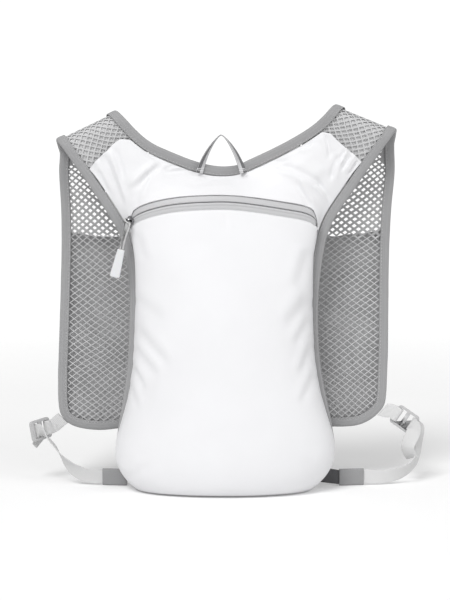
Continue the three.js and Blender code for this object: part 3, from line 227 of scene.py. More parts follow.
# a finish: base tones, a pattern group for colour and bump, and tone patches
def makeFinish(name, light, dark, rough, pattern, bump, shader=(), uv=False, patches=14.0, blotch=0.16, **values):
    material = bpy.data.materials.new(name)
    material.use_nodes = True
    tree = material.node_tree
    surface = tree.nodes["Principled BSDF"]
    place = tree.nodes.new("ShaderNodeTexCoord")
    objectSpot = place.outputs["Object"]
    spot = place.outputs["UV"] if uv else objectSpot
    drawn = placeGroup(tree, pattern, spot, **values)
    handled = placeGroup(tree, "handled", objectSpot, Patches=patches)
    woven = mixColours(tree, drawn["Shade"], dark, light)
    toned = mathNode(tree, "MULTIPLY_ADD", handled["Tone"], 3 * blotch, -blotch)
    worn = mixColours(tree, toned, woven, tuple(0.82 * c for c in dark))
    specked = mathNode(tree, "MULTIPLY", handled["Specks"], 0.05)
    final = mixColours(tree, specked, worn, tuple(min(1.0, 1.15 * c) for c in light))
    tree.links.new(final, surface.inputs["Base Color"])
    roughness = mathNode(tree, "MULTIPLY_ADD", handled["Tone"], 0.18, rough - 0.09)
    tree.links.new(roughness, surface.inputs["Roughness"])
    relief = tree.nodes.new("ShaderNodeBump")
    relief.inputs["Strength"].default_value = bump
    relief.inputs["Distance"].default_value = 0.0003
    tree.links.new(drawn["Height"], relief.inputs["Height"])
    tree.links.new(relief.outputs["Normal"], surface.inputs["Normal"])
    for label, value in dict(shader).items():
        surface.inputs[label].default_value = value
    return material


sheen = {"Sheen Weight": 0.25, "Sheen Roughness": 0.5, "Specular IOR Level": 0.3}
finishes = {
    "bagCloth": makeFinish("bagCloth", (0.87, 0.87, 0.885), (0.83, 0.83, 0.845), 0.5, "weave", 0.12,
                           {"Sheen Weight": 0.12, "Specular IOR Level": 0.35}, Threads=9000.0),
    # one grey knit in three tones: the open chest net darkened as painted shade (also used on the back net), the
    # shoulders plain, the strands over the pockets lightened as painted highlight
    "netShadedStrand": makeFinish("netShadedStrand", (0.54, 0.54, 0.545), (0.38, 0.38, 0.385), 0.85, "knit", 0.5, sheen,
                            patches=40.0, blotch=0.25),
    "netLitOverPocket": makeFinish("netLitOverPocket", (0.76, 0.76, 0.765), (0.56, 0.56, 0.565), 0.85, "knit", 0.4, sheen,
                                patches=40.0, blotch=0.25),
    "netShoulder": makeFinish("netShoulder", (0.70, 0.70, 0.705), (0.56, 0.56, 0.565), 0.85, "knit", 0.5, sheen),
    "netLining": makeFinish("netLining", (0.78, 0.78, 0.785), (0.66, 0.66, 0.665), 0.9, "knit", 0.35, sheen,
                            Loops=1500.0),
    "pocketKnit": makeFinish("pocketKnit", (0.66, 0.66, 0.665), (0.44, 0.44, 0.445), 0.9, "knit", 0.45, sheen,
                             Loops=900.0, patches=38.0, blotch=0.5),
    "bindingTape": makeFinish("bindingTape", (0.41, 0.41, 0.415), (0.31, 0.31, 0.315), 0.75, "ribs", 0.4, sheen,
                              uv=True, Ribs=2200.0, Picks=9000.0, Balance=0.75),
    "zipTape": makeFinish("zipTape", (0.62, 0.62, 0.63), (0.50, 0.50, 0.51), 0.45, "ribs", 0.2,
                          {"Specular IOR Level": 0.5}, uv=True, Ribs=7000.0, Picks=7000.0, Balance=0.5),
    "zipTeeth": makeFinish("zipTeeth", (0.30, 0.30, 0.31), (0.10, 0.10, 0.105), 0.4, "ribs", 0.8,
                           {"Specular IOR Level": 0.5}, uv=True, Ribs=800.0, Picks=6000.0, Balance=1.0),
    "sliderMetal": makeFinish("sliderMetal", (0.40, 0.40, 0.41), (0.30, 0.30, 0.31), 0.22, "weave", 0.05,
                              {"Metallic": 1.0}, Threads=4000.0),
    "cordBraid": makeFinish("cordBraid", (0.74, 0.74, 0.74), (0.5, 0.5, 0.5), 0.7, "ribs", 0.8, sheen,
                            uv=True, Ribs=6000.0, Picks=5000.0, Balance=0.5),
    "gripPlastic": makeFinish("gripPlastic", (0.80, 0.80, 0.81), (0.76, 0.76, 0.77), 0.42, "weave", 0.06,
                              {"Subsurface Weight": 0.05}, Threads=3000.0),
    "loopRibbon": makeFinish("loopRibbon", (0.22, 0.22, 0.225), (0.13, 0.13, 0.135), 0.55, "ribs", 0.5, sheen,
                             uv=True, Ribs=5000.0, Picks=9000.0, Balance=0.5),
    "loopShine": makeFinish("loopShine", (0.74, 0.74, 0.75), (0.62, 0.62, 0.63), 0.3, "ribs", 0.3,
                            {"Metallic": 0.35}, uv=True, Ribs=9000.0, Picks=9000.0, Balance=0.5),
    "elastic": makeFinish("elastic", (0.90, 0.90, 0.90), (0.62, 0.62, 0.62), 0.75, "ribs", 0.9, sheen,
                          uv=True, Ribs=4600.0, Picks=7000.0, Balance=0.2),
    "bucklePlastic": makeFinish("bucklePlastic", (0.56, 0.56, 0.565), (0.51, 0.51, 0.515), 0.38, "weave", 0.08,
                                {"Specular IOR Level": 0.5}, Threads=2600.0),
    "webbing": makeFinish("webbing", (0.80, 0.80, 0.80), (0.60, 0.60, 0.60), 0.72, "ribs", 0.6, sheen,
                          uv=True, Ribs=5600.0, Picks=6500.0, Balance=0.5),
    "sleeveCloth": makeFinish("sleeveCloth", (0.38, 0.38, 0.385), (0.28, 0.28, 0.285), 0.8, "weave", 0.5, sheen,
                              Threads=7000.0),
    # the anchor tab's grey cloth made near black: painted shade
    "anchorShadedCloth": makeFinish("anchorShadedCloth", (0.13, 0.13, 0.135), (0.08, 0.08, 0.085), 0.8, "weave", 0.5, sheen,
                              Threads=7000.0),
    "threadGrey": makeFinish("threadGrey", (0.62, 0.62, 0.625), (0.50, 0.50, 0.50), 0.7, "weave", 0.3, sheen),
    "threadWhite": makeFinish("threadWhite", (0.90, 0.90, 0.91), (0.80, 0.80, 0.81), 0.7, "weave", 0.3, sheen),
    "threadDark": makeFinish("threadDark", (0.16, 0.16, 0.165), (0.11, 0.11, 0.11), 0.7, "weave", 0.3, sheen),
}
print("stage: finishes")


# ---- helpers: frame copies, rings of a swept node, smooth tracks, shaped grids, finished pieces


def mergedCopy(name):
    bm = bmesh.new()
    bm.from_mesh(nodes[name].data)
    bmesh.ops.remove_doubles(bm, verts=bm.verts, dist=0.02 * mm)
    bm.verts.index_update()
    return bm


# the cross rings of a swept node in order, each with its corners in the same order
def sweptRings(name, corners):
    bm = mergedCopy(name)
    bm.verts.ensure_lookup_table()
    rings = next(found for found in (ringsFrom(bm, cap, corners) for cap in endCaps(bm, corners)) if found)
    ordered = [capOrder(bm, rings[0])]
    for ring in rings[1:]:
        ordered.append(matchRing(ordered[-1], loopOrder(ring)))
    result = [[v.co.copy() for v in ring] for ring in ordered]
    bm.free()
    return result


def endCaps(bm, corners):
    seen = set()
    for face in bm.faces:
        flat = {face}
        grow = [face]
        while grow:
            for edge in grow.pop().edges:
                for other in edge.link_faces:
                    if other not in flat and other.normal.dot(face.normal) > 0.9999:
                        flat.add(other)
                        grow.append(other)
        verts = frozenset(v for f in flat for v in f.verts)
        if len(verts) == corners and len(flat) == corners - 2 and verts not in seen:
            seen.add(verts)
            yield verts


def ringsFrom(bm, cap, corners):
    rings, used = [set(cap)], set(cap)
    while len(used) < len(bm.verts):
        ring = {e.other_vert(v) for v in rings[-1] for e in v.link_edges} - used
        if len(ring) != corners:
            return None
        rings.append(ring)
        used |= ring
    return rings


def capOrder(bm, ring):
    inner = [f for f in bm.faces if all(v in ring for v in f.verts)]
    edges = [e for f in inner for e in f.edges]
    rim = [e for e in edges if edges.count(e) == 1]
    return walkLoop(ring, rim)


def loopOrder(ring):
    caps = [f for v in ring for f in v.link_faces if all(w in ring for w in f.verts)]
    edges = [e for f in set(caps) for e in f.edges]
    inside = {e for e in edges if edges.count(e) > 1}
    rim = {e for v in ring for e in v.link_edges if e.other_vert(v) in ring} - inside
    return walkLoop(ring, rim)


def walkLoop(ring, rim):
    start = next(iter(sorted(ring, key=lambda v: v.index)))
    order = [start]
    while len(order) < len(ring):
        step = [e.other_vert(order[-1]) for e in rim if order[-1] in e.verts]
        order.append(next(v for v in sorted(step, key=lambda v: v.index) if v not in order))
    return order


def matchRing(before, ring):
    best = None
    for turned in (ring, ring[::-1]):
        for shift in range(len(ring)):
            tried = turned[shift:] + turned[:shift]
            tied = all(any(e.other_vert(a) is b for e in a.link_edges) for a, b in zip(before, tried))
            cost = sum((a.co - b.co).length for a, b in zip(before, tried)) + (0 if tied else 1)
            if best is None or cost < best[0]:
                best = (cost, tried)
    return best[1]


# a smooth track through rows of vectors, by the distance along their first column
def smoothTrack(rows):
    reach = [0.0]
    for a, b in zip(rows, rows[1:]):
        reach.append(reach[-1] + max((b[0] - a[0]).length, 1e-6))
    last = len(rows) - 1

    def slope(i, k):
        p, q = max(i - 1, 0), min(i + 1, last)
        return (rows[q][k] - rows[p][k]) / (reach[q] - reach[p])

    def at(s):
        s = min(max(s, 0.0), reach[-1])
        i = min(bisect.bisect_right(reach, s) - 1, last - 1)
        step = reach[i + 1] - reach[i]
        t = (s - reach[i]) / step
        h = (2 * t**3 - 3 * t * t + 1, t**3 - 2 * t * t + t, 3 * t * t - 2 * t**3, t**3 - t * t)
        return [
            h[0] * rows[i][k] + h[1] * step * slope(i, k) + h[2] * rows[i + 1][k] + h[3] * step * slope(i + 1, k)
            for k in range(len(rows[0]))
        ]

    return at, reach


# a grid of quads moved into shape: place and uv take shares (0 to 1) of the columns and rows
def shapedGrid(columns, rows, place, uv):
    bm = bmesh.new()
    layer = bm.loops.layers.uv.new("UVMap")
    bmesh.ops.create_grid(bm, x_segments=columns, y_segments=rows, size=0.5)
    share = {v: (round((v.co.x + 0.5) * columns) / columns, round((v.co.y + 0.5) * rows) / rows) for v in bm.verts}
    for face in bm.faces:
        for loop in face.loops:
            loop[layer].uv = uv(*share[loop.vert])
    for v, (a, b) in share.items():
        v.co = place(a, b)
    return bm


def closeSweep(bm):
    bmesh.ops.remove_doubles(bm, verts=bm.verts, dist=0.01 * mm)
    rims = [e for e in bm.edges if e.is_boundary]
    bmesh.ops.holes_fill(bm, edges=rims, sides=0)
    bmesh.ops.recalc_face_normals(bm, faces=bm.faces)
    return bm


def finishPiece(bm, name, finish, slotName, replaced=(), extra=()):
    mesh = bpy.data.meshes.new(name)
    bm.to_mesh(mesh)
    bm.free()
    piece = bpy.data.objects.new(name, mesh)
    bpy.context.scene.collection.objects.link(piece)
    mesh.materials.append(finishes[finish])
    for key in extra:
        mesh.materials.append(finishes[key])
    for polygon in mesh.polygons:
        polygon.use_smooth = True
    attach(piece, "root")
    if replaced:
        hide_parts(*replaced)
    return piece


def addModifier(piece, kind, **values):
    modifier = piece.modifiers.new(kind.lower(), kind)
    for key, value in values.items():
        setattr(modifier, key, value)
    return modifier


def applyModifiers(piece):
    shaped = bpy.data.meshes.new_from_object(piece.evaluated_get(bpy.context.evaluated_depsgraph_get()))
    piece.modifiers.clear()
    old, piece.data = piece.data, shaped
    shaped.name = piece.name
    bpy.data.meshes.remove(old)


def smoothStep(low, high, value):
    t = min(max((value - low) / (high - low), 0.0), 1.0)
    return t * t * (3 - 2 * t)


# small stitches along a track: spot gives a point, the run's direction and the way out of the cloth
def stitchRun(name, finish, slotName, spot, length, start=0.0, pitch=3.4, long=2.5, thick=0.5):
    bm = bmesh.new()
    count = int((length - start) / (pitch * mm))
    for i in range(count):
        point, along, out = spot(start + (i + 0.5) * pitch * mm)
        x = along.normalized()
        z = (out - x * out.dot(x)).normalized()
        turn = Matrix((x, z.cross(x), z)).transposed().to_4x4()
        size = Matrix.Diagonal((long * mm / 2, thick * mm / 2, thick * mm / 2.4, 1))
        bmesh.ops.create_icosphere(bm, subdivisions=1, radius=1, matrix=Matrix.Translation(point) @ turn @ size)
    return finishPiece(bm, name, finish, slotName)


# ---- bindings: a folded tape round every edge of the harness

binding = dict(
    wide=10.0, half=2.55, spacing=3.0, stitchIn=8.2,
    profile=[(10.0, -1.8), (9.75, -2.3), (9.2, -2.45), (8.6, -2.4), (8.1, -2.28), (7.6, -2.42), (6.4, -2.62),
             (4.4, -2.72), (2.4, -2.62), (1.0, -2.3), (0.25, -1.5), (0.0, 0.0)],
    inner=[(9.2, 1.5), (1.3, 1.45), (1.3, -1.45), (9.2, -1.5)],
)


# each ring of a binding as its outer edge point, the way into the cloth and the cloth's normal
def bindingRows(name, fromBack):
    rings = sweptRings(name, 8)
    rows = []
    first = rings[0]
    n = len(first)
    fold = min(range(n), key=lambda i: abs((first[i] - first[(i + 1) % n]).length - 2 * binding["half"] * mm)
               + (0 if abs((first[i - 1] - first[i]).length - binding["wide"] * mm) < 1 * mm else 1))
    for ring in rings:
        a, b = ring[fold], ring[(fold + 1) % n]
        deep = ring[fold - 1]
        u = (deep - a).normalized()
        rows.append([(a + b) / 2, u, (b - a).normalized()])
    if (rows[0][0].y > rows[-1][0].y + 5 * mm) != fromBack:
        rows.reverse()
    if rows[len(rows) // 4 if not fromBack else len(rows) // 2][2].y > 0:
        rows = [[p, u, -v] for p, u, v in rows]
    return rows


armholeRows = {side: bindingRows(f"armhole_binding_{side}", False) for side in ("left", "right")}
neckRows = bindingRows("neck_binding", False)
if neckRows[0][0].x > neckRows[-1][0].x:
    neckRows.reverse()
print("stage: rings", len(armholeRows["left"]), len(armholeRows["right"]), len(neckRows),
      [round(c * 1000) for c in neckRows[0][0]], neckRows[26][2][:], armholeRows["left"][5][2][:])


def makeBinding(name, rows, node, slotName="binding_tape"):
    at, reach = smoothTrack(rows)
    length = reach[-1]
    front = binding["profile"]
    loop = [*front, *[(u, -v) for u, v in front[-2::-1]], *binding["inner"]]
    steps = round(length / (binding["spacing"] * mm))
    around = [0.0]
    for a, b in zip(loop, [*loop[1:], loop[0]]):
        around.append(around[-1] + math.dist(a, b) * mm)

    def place(a, b):
        p, u, v = at(b * length)
        u = u.normalized()
        v = (v - u * v.dot(u)).normalized()
        i = round(a * len(loop)) % len(loop)
        x, y = loop[i]
        pucker = 1 + 0.05 * noise.noise(Vector((b * length * 160, i * 0.35, 3.1)))
        sag = 0.16 * noise.noise(Vector((b * length * 60, 1.7 + 0.2 * y, 8.4)))
        return p + u * ((x + sag) * mm) + v * (y * pucker * mm)

    bm = shapedGrid(len(loop), steps, place, lambda a, b: (around[round(a * len(loop))], b * length))
    closeSweep(bm)
    piece = finishPiece(bm, name, "bindingTape", slotName, [node])
    for face, sign in (("Front", 1), ("Back", -1)):
        def spot(s, sign=sign):
            p, u, v = at(s)
            ahead = at(min(s + 1 * mm, length))[0] - at(max(s - 1 * mm, 0))[0]
            return p + u * (binding["stitchIn"] * mm) - v * (sign * 2.33 * mm), ahead, -v * sign

        stitchRun(name + "Stitches" + face, "threadGrey", slotName, spot, length, 2 * mm)
    return piece


makeBinding("bindingLeft", armholeRows["left"], "armhole_binding_left")
makeBinding("bindingRight", armholeRows["right"], "armhole_binding_right")
makeBinding("bindingNeck", neckRows, "neck_binding")
print("stage: bindings")


# ---- net: a lattice of knitted strands over the shoulders and down the chest panels

net = dict(
    seam=21, nearSteps=3, foldSteps=8, farRows=9,  # stations of the bindings that the strips run between
    inset=1.6, holesAcross=9, cut=(0.085, 0.400), cutArea=0.0215, pitch=6.9, openStrand=1.2, pocketStrand=0.38, shoulderStrand=0.85, thick=0.8,
    wander=2.6, pocketLine=262.0,
)


# rows of one strip, from the seam under the yoke to the hem: outer edge, inner edge, normal
def stripRows(side):
    s = net
    arm = armholeRows[side]
    start = s["farRows"] + s["foldSteps"] + s["nearSteps"]
    inner = neckRows[start::-1] if side == "left" else neckRows[len(neckRows) - 1 - start:]
    paired = s["nearSteps"] + s["foldSteps"] + s["farRows"] - 1
    rows = []
    for k in range(start + 1):
        m, mu, mv = inner[k]
        low = k >= paired
        l, lu = (arm[s["seam"] + k][0], arm[s["seam"] + k][1]) if not low else (None, None)
        if low:
            l = Vector((rows[-1][3].x, m.y, m.z))
            lu = Vector((-1 if side == "right" else 1, 0, 0))
        raw = l.copy()
        rows.append([(l + m) / 2, l + lu * (s["inset"] * mm), m + mu * (s["inset"] * mm), raw, mv])
    return rows


# lowest height of the hem at a distance from the middle
def hemLine(side):
    points = [row[0] for row in armholeRows[side][net["seam"] + net["nearSteps"] + net["foldSteps"] + 7:]]
    pairs = sorted((abs(p.x), p.z) for p in points)

    def at(x):
        if x <= pairs[0][0]:
            return pairs[0][1]
        for (xa, za), (xb, zb) in zip(pairs, pairs[1:]):
            if x <= xb:
                return za + (zb - za) * (x - xa) / max(xb - xa, 1e-9)
        return pairs[-1][1]

    return at


strips = {}
for side in ("left", "right"):
    rows = stripRows(side)
    strips[side] = (*smoothTrack(rows), hemLine(side))


def stripSpot(side, across, s, proud=0.0):
    at, reach, hem = strips[side]
    mid, outer, inner, raw, normal = at(s)
    p = inner.lerp(outer, across) + normal.normalized() * proud
    if p.y > backPlane + 20 * mm and s > 0.5 * reach[-1]:
        p.z = max(p.z, hem(abs(p.x)) + net["inset"] * mm)
    return p


# a tiling of diamonds: a square grid turned half a quarter, cut to a strip of the given length
def diamondGrid(wide, long, pitchAcross, pitchAlong):
    reach = math.ceil(long / pitchAlong + wide / pitchAcross) + 2
    bm = bmesh.new()
    bmesh.ops.create_grid(bm, x_segments=reach, y_segments=reach, size=reach / 2)
    for v in bm.verts:
        a, b = v.co.x + reach / 2, v.co.y + reach / 2
        v.co = ((a - b) * pitchAcross / 2 + wide / 2, (a + b) * pitchAlong / 2 - wide * pitchAlong / pitchAcross / 2 - pitchAlong, 0)
    outside = [f for f in bm.faces
               if not (-1e-7 < f.calc_center_median().x < wide + 1e-7 and 0 < f.calc_center_median().y < long)]
    bmesh.ops.delete(bm, geom=outside, context="FACES")
    for v in bm.verts:
        v.co.x = min(max(v.co.x, 0), wide)
        v.co.y = min(max(v.co.y, 0), long)
    return bm


# opens every diamond, leaving strands between the holes
def openDiamonds(bm, least, strands):
    bmesh.ops.remove_doubles(bm, verts=bm.verts, dist=0.05 * mm)
    bmesh.ops.dissolve_degenerate(bm, edges=bm.edges, dist=0.05 * mm)
    cells = [f for f in bm.faces if f.calc_area() > least]
    for strand, picked in strands:
        some = [f for f in cells if picked(f.calc_center_median())]
        tight = [f for f in some if f.calc_area() < 27e-6]
        roomy = [f for f in some if f.calc_area() >= 27e-6]
        bmesh.ops.inset_individual(bm, faces=roomy, thickness=strand * mm, use_even_offset=True)
        bmesh.ops.inset_individual(bm, faces=tight, thickness=0.8 * strand * mm, use_even_offset=True)
    bmesh.ops.delete(bm, geom=cells, context="FACES")


def makeNet(side):
    s = net
    at, reach, hem = strips[side]
    width = 85 * mm
    bm = diamondGrid(width, reach[-1], width / s["holesAcross"], s["pitch"] * mm)
    for v in bm.verts:
        a, b = v.co.x / width, v.co.y
        free = math.sin(math.pi * min(max(a, 0), 1))
        drift = noise.noise_vector(Vector((a * 2.2, b * 26, 5.0 if side == "left" else 11.0)))
        a += drift.x * free * s["wander"] * mm / width
        v.co = stripSpot(side, a, b + drift.y * free * s["wander"] * mm)
    fold = backPlane + 13 * mm
    # zones choose the net's tone: painted shade on the open chest, plain on the shoulders, painted highlight over the
    # pockets
    zones = (lambda c: c.y >= fold and c.z >= s["pocketLine"] * mm, lambda c: c.y < fold,
             lambda c: c.y >= fold and c.z < s["pocketLine"] * mm)
    widths = (s["openStrand"], s["shoulderStrand"], s["pocketStrand"])
    openDiamonds(bm, 19e-6, list(zip(widths, zones)))
    bmesh.ops.recalc_face_normals(bm, faces=bm.faces)
    name = "net" + side.capitalize()
    piece = finishPiece(bm, name, "netShadedStrand", "mesh_cloth", [f"shoulder_mesh_{side}"], ["netShoulder", "netLitOverPocket"])
    for polygon in piece.data.polygons:
        polygon.material_index = next(i for i, zone in enumerate(zones) if zone(polygon.center))
    addModifier(piece, "SOLIDIFY", thickness=s["thick"] * mm, offset=0)
    return piece


for side in ("left", "right"):
    makeNet(side)
print("stage: nets")

# ---- lining under the shoulder net, and the slack pockets behind the chest panels

shoulderLining = dict(columns=10, rows=16, behind=1.4, thick=0.5, cut=(0.085, 0.070), cutArea=0.0048)
pocket = dict(columns=26, rows=40, top=(263.5, 263.5), bulge=10.0, thick=0.8, proud=1.7, hemDeep=9.0,
              sag=5.0, slant=-4.0, cut=(0.085, 0.204))


def makeLining(side, s):
    at, reach, hem = strips[side]
    end = reach[net["nearSteps"] + net["foldSteps"] // 2]
    bm = shapedGrid(s["columns"], s["rows"], lambda a, b: stripSpot(side, a, b * end, -s["behind"] * mm),
                    lambda a, b: (a * 0.08, b * end))
    piece = finishPiece(bm, "lining" + side.capitalize(), "netLining", "mesh_cloth")
    addModifier(piece, "SOLIDIFY", thickness=s["thick"] * mm, offset=0)
    return piece


# distance along the strip at which it passes a height on its way down behind
def stripAt(side, z):
    at, reach, hem = strips[side]
    low, high = reach[net["nearSteps"] + net["foldSteps"]], reach[-1]
    for _ in range(40):
        middle = (low + high) / 2
        if at(middle)[0].z > z:
            low = middle
        else:
            high = middle
    return low


def makePocket(side, s):
    at, reach, hem = strips[side]
    start = stripAt(side, s["top"][side == "right"] * mm)
    end = reach[-1]

    def place(a, b):
        dome = math.sin(math.pi * a) ** 0.7
        lift = smoothStep(1, 0.75, b) * (0.72 + 0.28 * smoothStep(0, 0.35, b))
        slack = 0.7 * noise.noise(Vector((a * 4, b * 6, 2.0 if side == "left" else 7.0)))
        hem = 0.5 * smoothStep(s["hemDeep"] * mm / (end - start), 0, b)
        proud = s["proud"] + s["bulge"] * dome * lift + slack * dome * lift + hem
        sag = s["sag"] * math.sin(math.pi * a) + s["slant"] * a * (1 if side == "left" else 1.6)
        sag += 1.6 * noise.noise(Vector((a * 5, 0.3, 4.0 if side == "left" else 9.0)))
        top = start + sag * mm * (1 - b)
        return stripSpot(side, a, top + b * (end - start), proud * mm)

    bm = shapedGrid(s["columns"], s["rows"], place, lambda a, b: (a * 0.085, b * (end - start)))
    piece = finishPiece(bm, "pocket" + side.capitalize(), "pocketKnit", "pocket_cloth", [f"chest_pocket_{side}"])
    addModifier(piece, "SOLIDIFY", thickness=s["thick"] * mm, offset=0)
    addModifier(piece, "SUBSURF", levels=1, render_levels=1)

    def spot(t):
        b = s["hemDeep"] * 0.85 * mm / (end - start)
        a = 0.04 + 0.92 * t / 0.085
        along = place(min(a + 0.02, 1), b) - place(max(a - 0.02, 0), b)
        return place(a, b) + Vector((0, 0.5 * mm, 0)), along, Vector((0, 1, 0))

    stitchRun("pocketHem" + side.capitalize(), "threadGrey", "pocket_cloth", spot, 0.085, 0.002)
    return piece


for side in ("left", "right"):
    makeLining(side, shoulderLining)
    makePocket(side, pocket)
print("stage: linings and pockets")

# ---- back: the frame's flat sheet keeps its place and carries a net on the wearer's side

backNet = dict(pitchAcross=9.8, pitch=6.9, strand=1.2, thick=0.9, margin=5.2, proud=1.45,
               cut=(0.262, 0.358), cutArea=0.060)


def backOutline():
    left = [row[0] for row in armholeRows["left"][:net["seam"] + 1]]
    right = [row[0] for row in armholeRows["right"][:net["seam"] + 1]]
    start = net["farRows"] + net["foldSteps"] + net["nearSteps"]
    neck = [row[0] for row in neckRows[start:len(neckRows) - start]]
    return [(p.x, p.z) for p in [*left, *neck, *right[::-1]]]


def inside(outline, x, z):
    odd = False
    for (xa, za), (xb, zb) in zip(outline, outline[1:] + outline[:1]):
        if (za > z) != (zb > z) and x < xa + (z - za) * (xb - xa) / (zb - za):
            odd = not odd
    return odd


def makeBackNet(s):
    outline = backOutline()
    wide, high = 0.30, 0.40
    bm = diamondGrid(wide, high, s["pitchAcross"] * mm, s["pitch"] * mm)
    margin = s["margin"] * mm
    steps = [(margin, 0), (-margin, 0), (0, margin), (0, -margin)]
    for v in bm.verts:
        v.co = Vector((v.co.x - wide / 2, backPlane + s["proud"] * mm, v.co.y))
    outside = [f for f in bm.faces if not all(
        inside(outline, f.calc_center_median().x + dx, f.calc_center_median().z + dz) for dx, dz in steps)]
    bmesh.ops.delete(bm, geom=outside, context="FACES")
    openDiamonds(bm, 22e-6, [(s["strand"], lambda c: True)])
    bmesh.ops.recalc_face_normals(bm, faces=bm.faces)
    # the back net takes the net's darker tone, the painted-shade copy
    piece = finishPiece(bm, "backNet", "netShadedStrand", "mesh_cloth")
    addModifier(piece, "SOLIDIFY", thickness=s["thick"] * mm, offset=0)
    return piece


makeBackNet(backNet)
nodes["back_panel"].data.materials.clear()
nodes["back_panel"].data.materials.append(finishes["netLining"])
print("stage: back")

# ---- the bag's front and its yoke: cloth skins taken from the frame, slackened and settled by a cloth run

def outerSkin(name, keep):
    bm = mergedCopy(name)
    bm.normal_update()
    inner = [f for f in bm.faces if not keep(f)]
    bmesh.ops.delete(bm, geom=inner, context="FACES")
    bmesh.ops.join_triangles(bm, faces=bm.faces, angle_face_threshold=math.pi, angle_shape_threshold=math.pi)
    return bm


def keepFront(face):
    c, n = face.calc_center_median(), face.normal
    if n.z < -0.5:
        return True
    if n.y > 0.95 or n.z > 0.75:
        return False
    return n.dot(Vector((c.x, c.y - 0.026, 0))) > 0


def keepYoke(face):
    return face.normal.y < -0.25


# the cloth's turned edges, which close the bag where zip, yoke and side seams meet
def frontTurned(face):
    return face.normal.z > 0.5 and face.calc_center_median().z > 0.2


def yokeTurned(face):
    c = face.calc_center_median()
    return -0.25 <= face.normal.y < 0.85 and c.z < 0.3 and abs(c.x) > 0.07


# folds of the yoke in millimetres across and up: each is a crease through three points with a lip on one side
yokeFolds = [
    dict(start=(-125, 353), bend=(-116, 324), end=(-103, 292), deep=2.4, wide=3.1, lip=1),
    dict(start=(-64, 339), bend=(-80, 327), end=(-98, 309), deep=2.2, wide=3.4, lip=-1),
    dict(start=(-94, 364), bend=(-83, 354), end=(-66, 339), deep=1.9, wide=2.4, lip=1),
    dict(start=(-66, 331), bend=(-48, 330), end=(-30, 334), deep=1.4, wide=2.2, lip=1),
    dict(start=(-132, 334), bend=(-125, 318), end=(-118, 304), deep=1.2, wide=2.4, lip=-1),
    dict(start=(-114, 356), bend=(-107, 339), end=(-104, 321), deep=1.4, wide=3.0, lip=-1),
    dict(start=(-77, 334), bend=(-86, 315), end=(-94, 298), deep=1.2, wide=3.1, lip=1),
    dict(start=(-50, 339), bend=(-56, 334), end=(-67, 332), deep=1.2, wide=1.9, lip=-1),
    dict(start=(46, 338), bend=(83, 336), end=(110, 306), deep=2.3, wide=3.6, lip=-1),
    dict(start=(117, 349), bend=(111, 334), end=(109, 320), deep=2.2, wide=2.7, lip=1),
    dict(start=(124, 354), bend=(119, 346), end=(115, 336), deep=1.5, wide=1.6, lip=1),
    dict(start=(130, 348), bend=(125, 340), end=(120, 330), deep=1.5, wide=1.8, lip=1),
    dict(start=(137, 342), bend=(132, 335), end=(127, 326), deep=1.3, wide=1.6, lip=-1),
    dict(start=(72, 323), bend=(80, 307), end=(91, 291), deep=1.9, wide=3.0, lip=1),
    dict(start=(94, 320), bend=(102, 312), end=(110, 299), deep=1.5, wide=2.4, lip=-1),
    dict(start=(65, 351), bend=(78, 355), end=(90, 367), deep=1.4, wide=2.7, lip=1),
    dict(start=(102, 370), bend=(108, 357), end=(108, 342), deep=1.7, wide=2.4, lip=-1),
    dict(start=(-88, 362), bend=(-81, 351), end=(-75, 353), deep=1.0, wide=2.0, lip=1),
    dict(start=(-75, 351), bend=(-69, 342), end=(-61, 344), deep=0.9, wide=2.0, lip=1),
    dict(start=(-61, 342), bend=(-56, 335), end=(-46, 338), deep=0.8, wide=1.9, lip=1),
    dict(start=(-44, 336), bend=(-38, 331), end=(-30, 333), deep=0.6, wide=1.8, lip=1),
    dict(start=(-120, 344), bend=(-112, 322), end=(-106, 306), deep=0.9, wide=2.7, lip=-1),
    dict(start=(77, 357), bend=(83, 353), end=(91, 363), deep=0.9, wide=2.2, lip=-1),
    dict(start=(46, 344), bend=(56, 338), end=(67, 344), deep=0.8, wide=2.2, lip=-1),
    dict(start=(30, 339), bend=(38, 333), end=(46, 336), deep=0.6, wide=1.9, lip=-1),
]

# folds of the bag's front, drawn in from its side seams
bagFolds = [
    dict(start=(-96, 202), bend=(-78, 193), end=(-60, 179), deep=1.0, wide=6.3, lip=1),
    dict(start=(-94, 173), bend=(-76, 156), end=(-54, 132), deep=1.7, wide=5.6, lip=1),
    dict(start=(-96, 152), bend=(-81, 139), end=(-66, 122), deep=1.7, wide=4.5, lip=1),
    dict(start=(-98, 134), bend=(-89, 123), end=(-81, 108), deep=1.7, wide=3.4, lip=1),
    dict(start=(-100, 113), bend=(-94, 103), end=(-89, 87), deep=1.0, wide=3.9, lip=1),
    dict(start=(88, 204), bend=(77, 189), end=(60, 171), deep=2.0, wide=8.4, lip=-1),
    dict(start=(89, 183), bend=(80, 171), end=(70, 153), deep=1.5, wide=5.0, lip=-1),
    dict(start=(91, 156), bend=(83, 142), end=(77, 123), deep=1.4, wide=4.8, lip=-1),
    dict(start=(94, 126), bend=(85, 111), end=(77, 94), deep=1.2, wide=5.0, lip=-1),
    dict(start=(88, 254), bend=(80, 234), end=(74, 210), deep=1.4, wide=7.0, lip=-1),
    dict(start=(-92, 269), bend=(-86, 256), end=(-83, 238), deep=0.8, wide=5.0, lip=1),
    dict(start=(-1, 290), bend=(1, 281), end=(2, 271), deep=0.5, wide=3.1, lip=1),
    dict(start=(-100, 15), bend=(-87, 26), end=(-77, 38), deep=0.9, wide=5.6, lip=1),
    dict(start=(100, 15), bend=(89, 28), end=(82, 43), deep=0.9, wide=5.6, lip=-1),
]


bagFront = dict(levels=2, slack=-0.022, seamReach=34.0, pressure=2.2, frames=26, cap=4.5, thick=0.5, finer=1,
                folds=bagFolds, rim=0.25, cut=(0.330, 0.360), cutArea=0.084)
yokeSkin = dict(levels=2, slack=-0.07, seamReach=60.0, pressure=1.2, frames=26, cap=5.0, thick=0.5, finer=1,
                folds=yokeFolds, rim=0.6, cut=(0.285, 0.108), cutArea=0.0142)


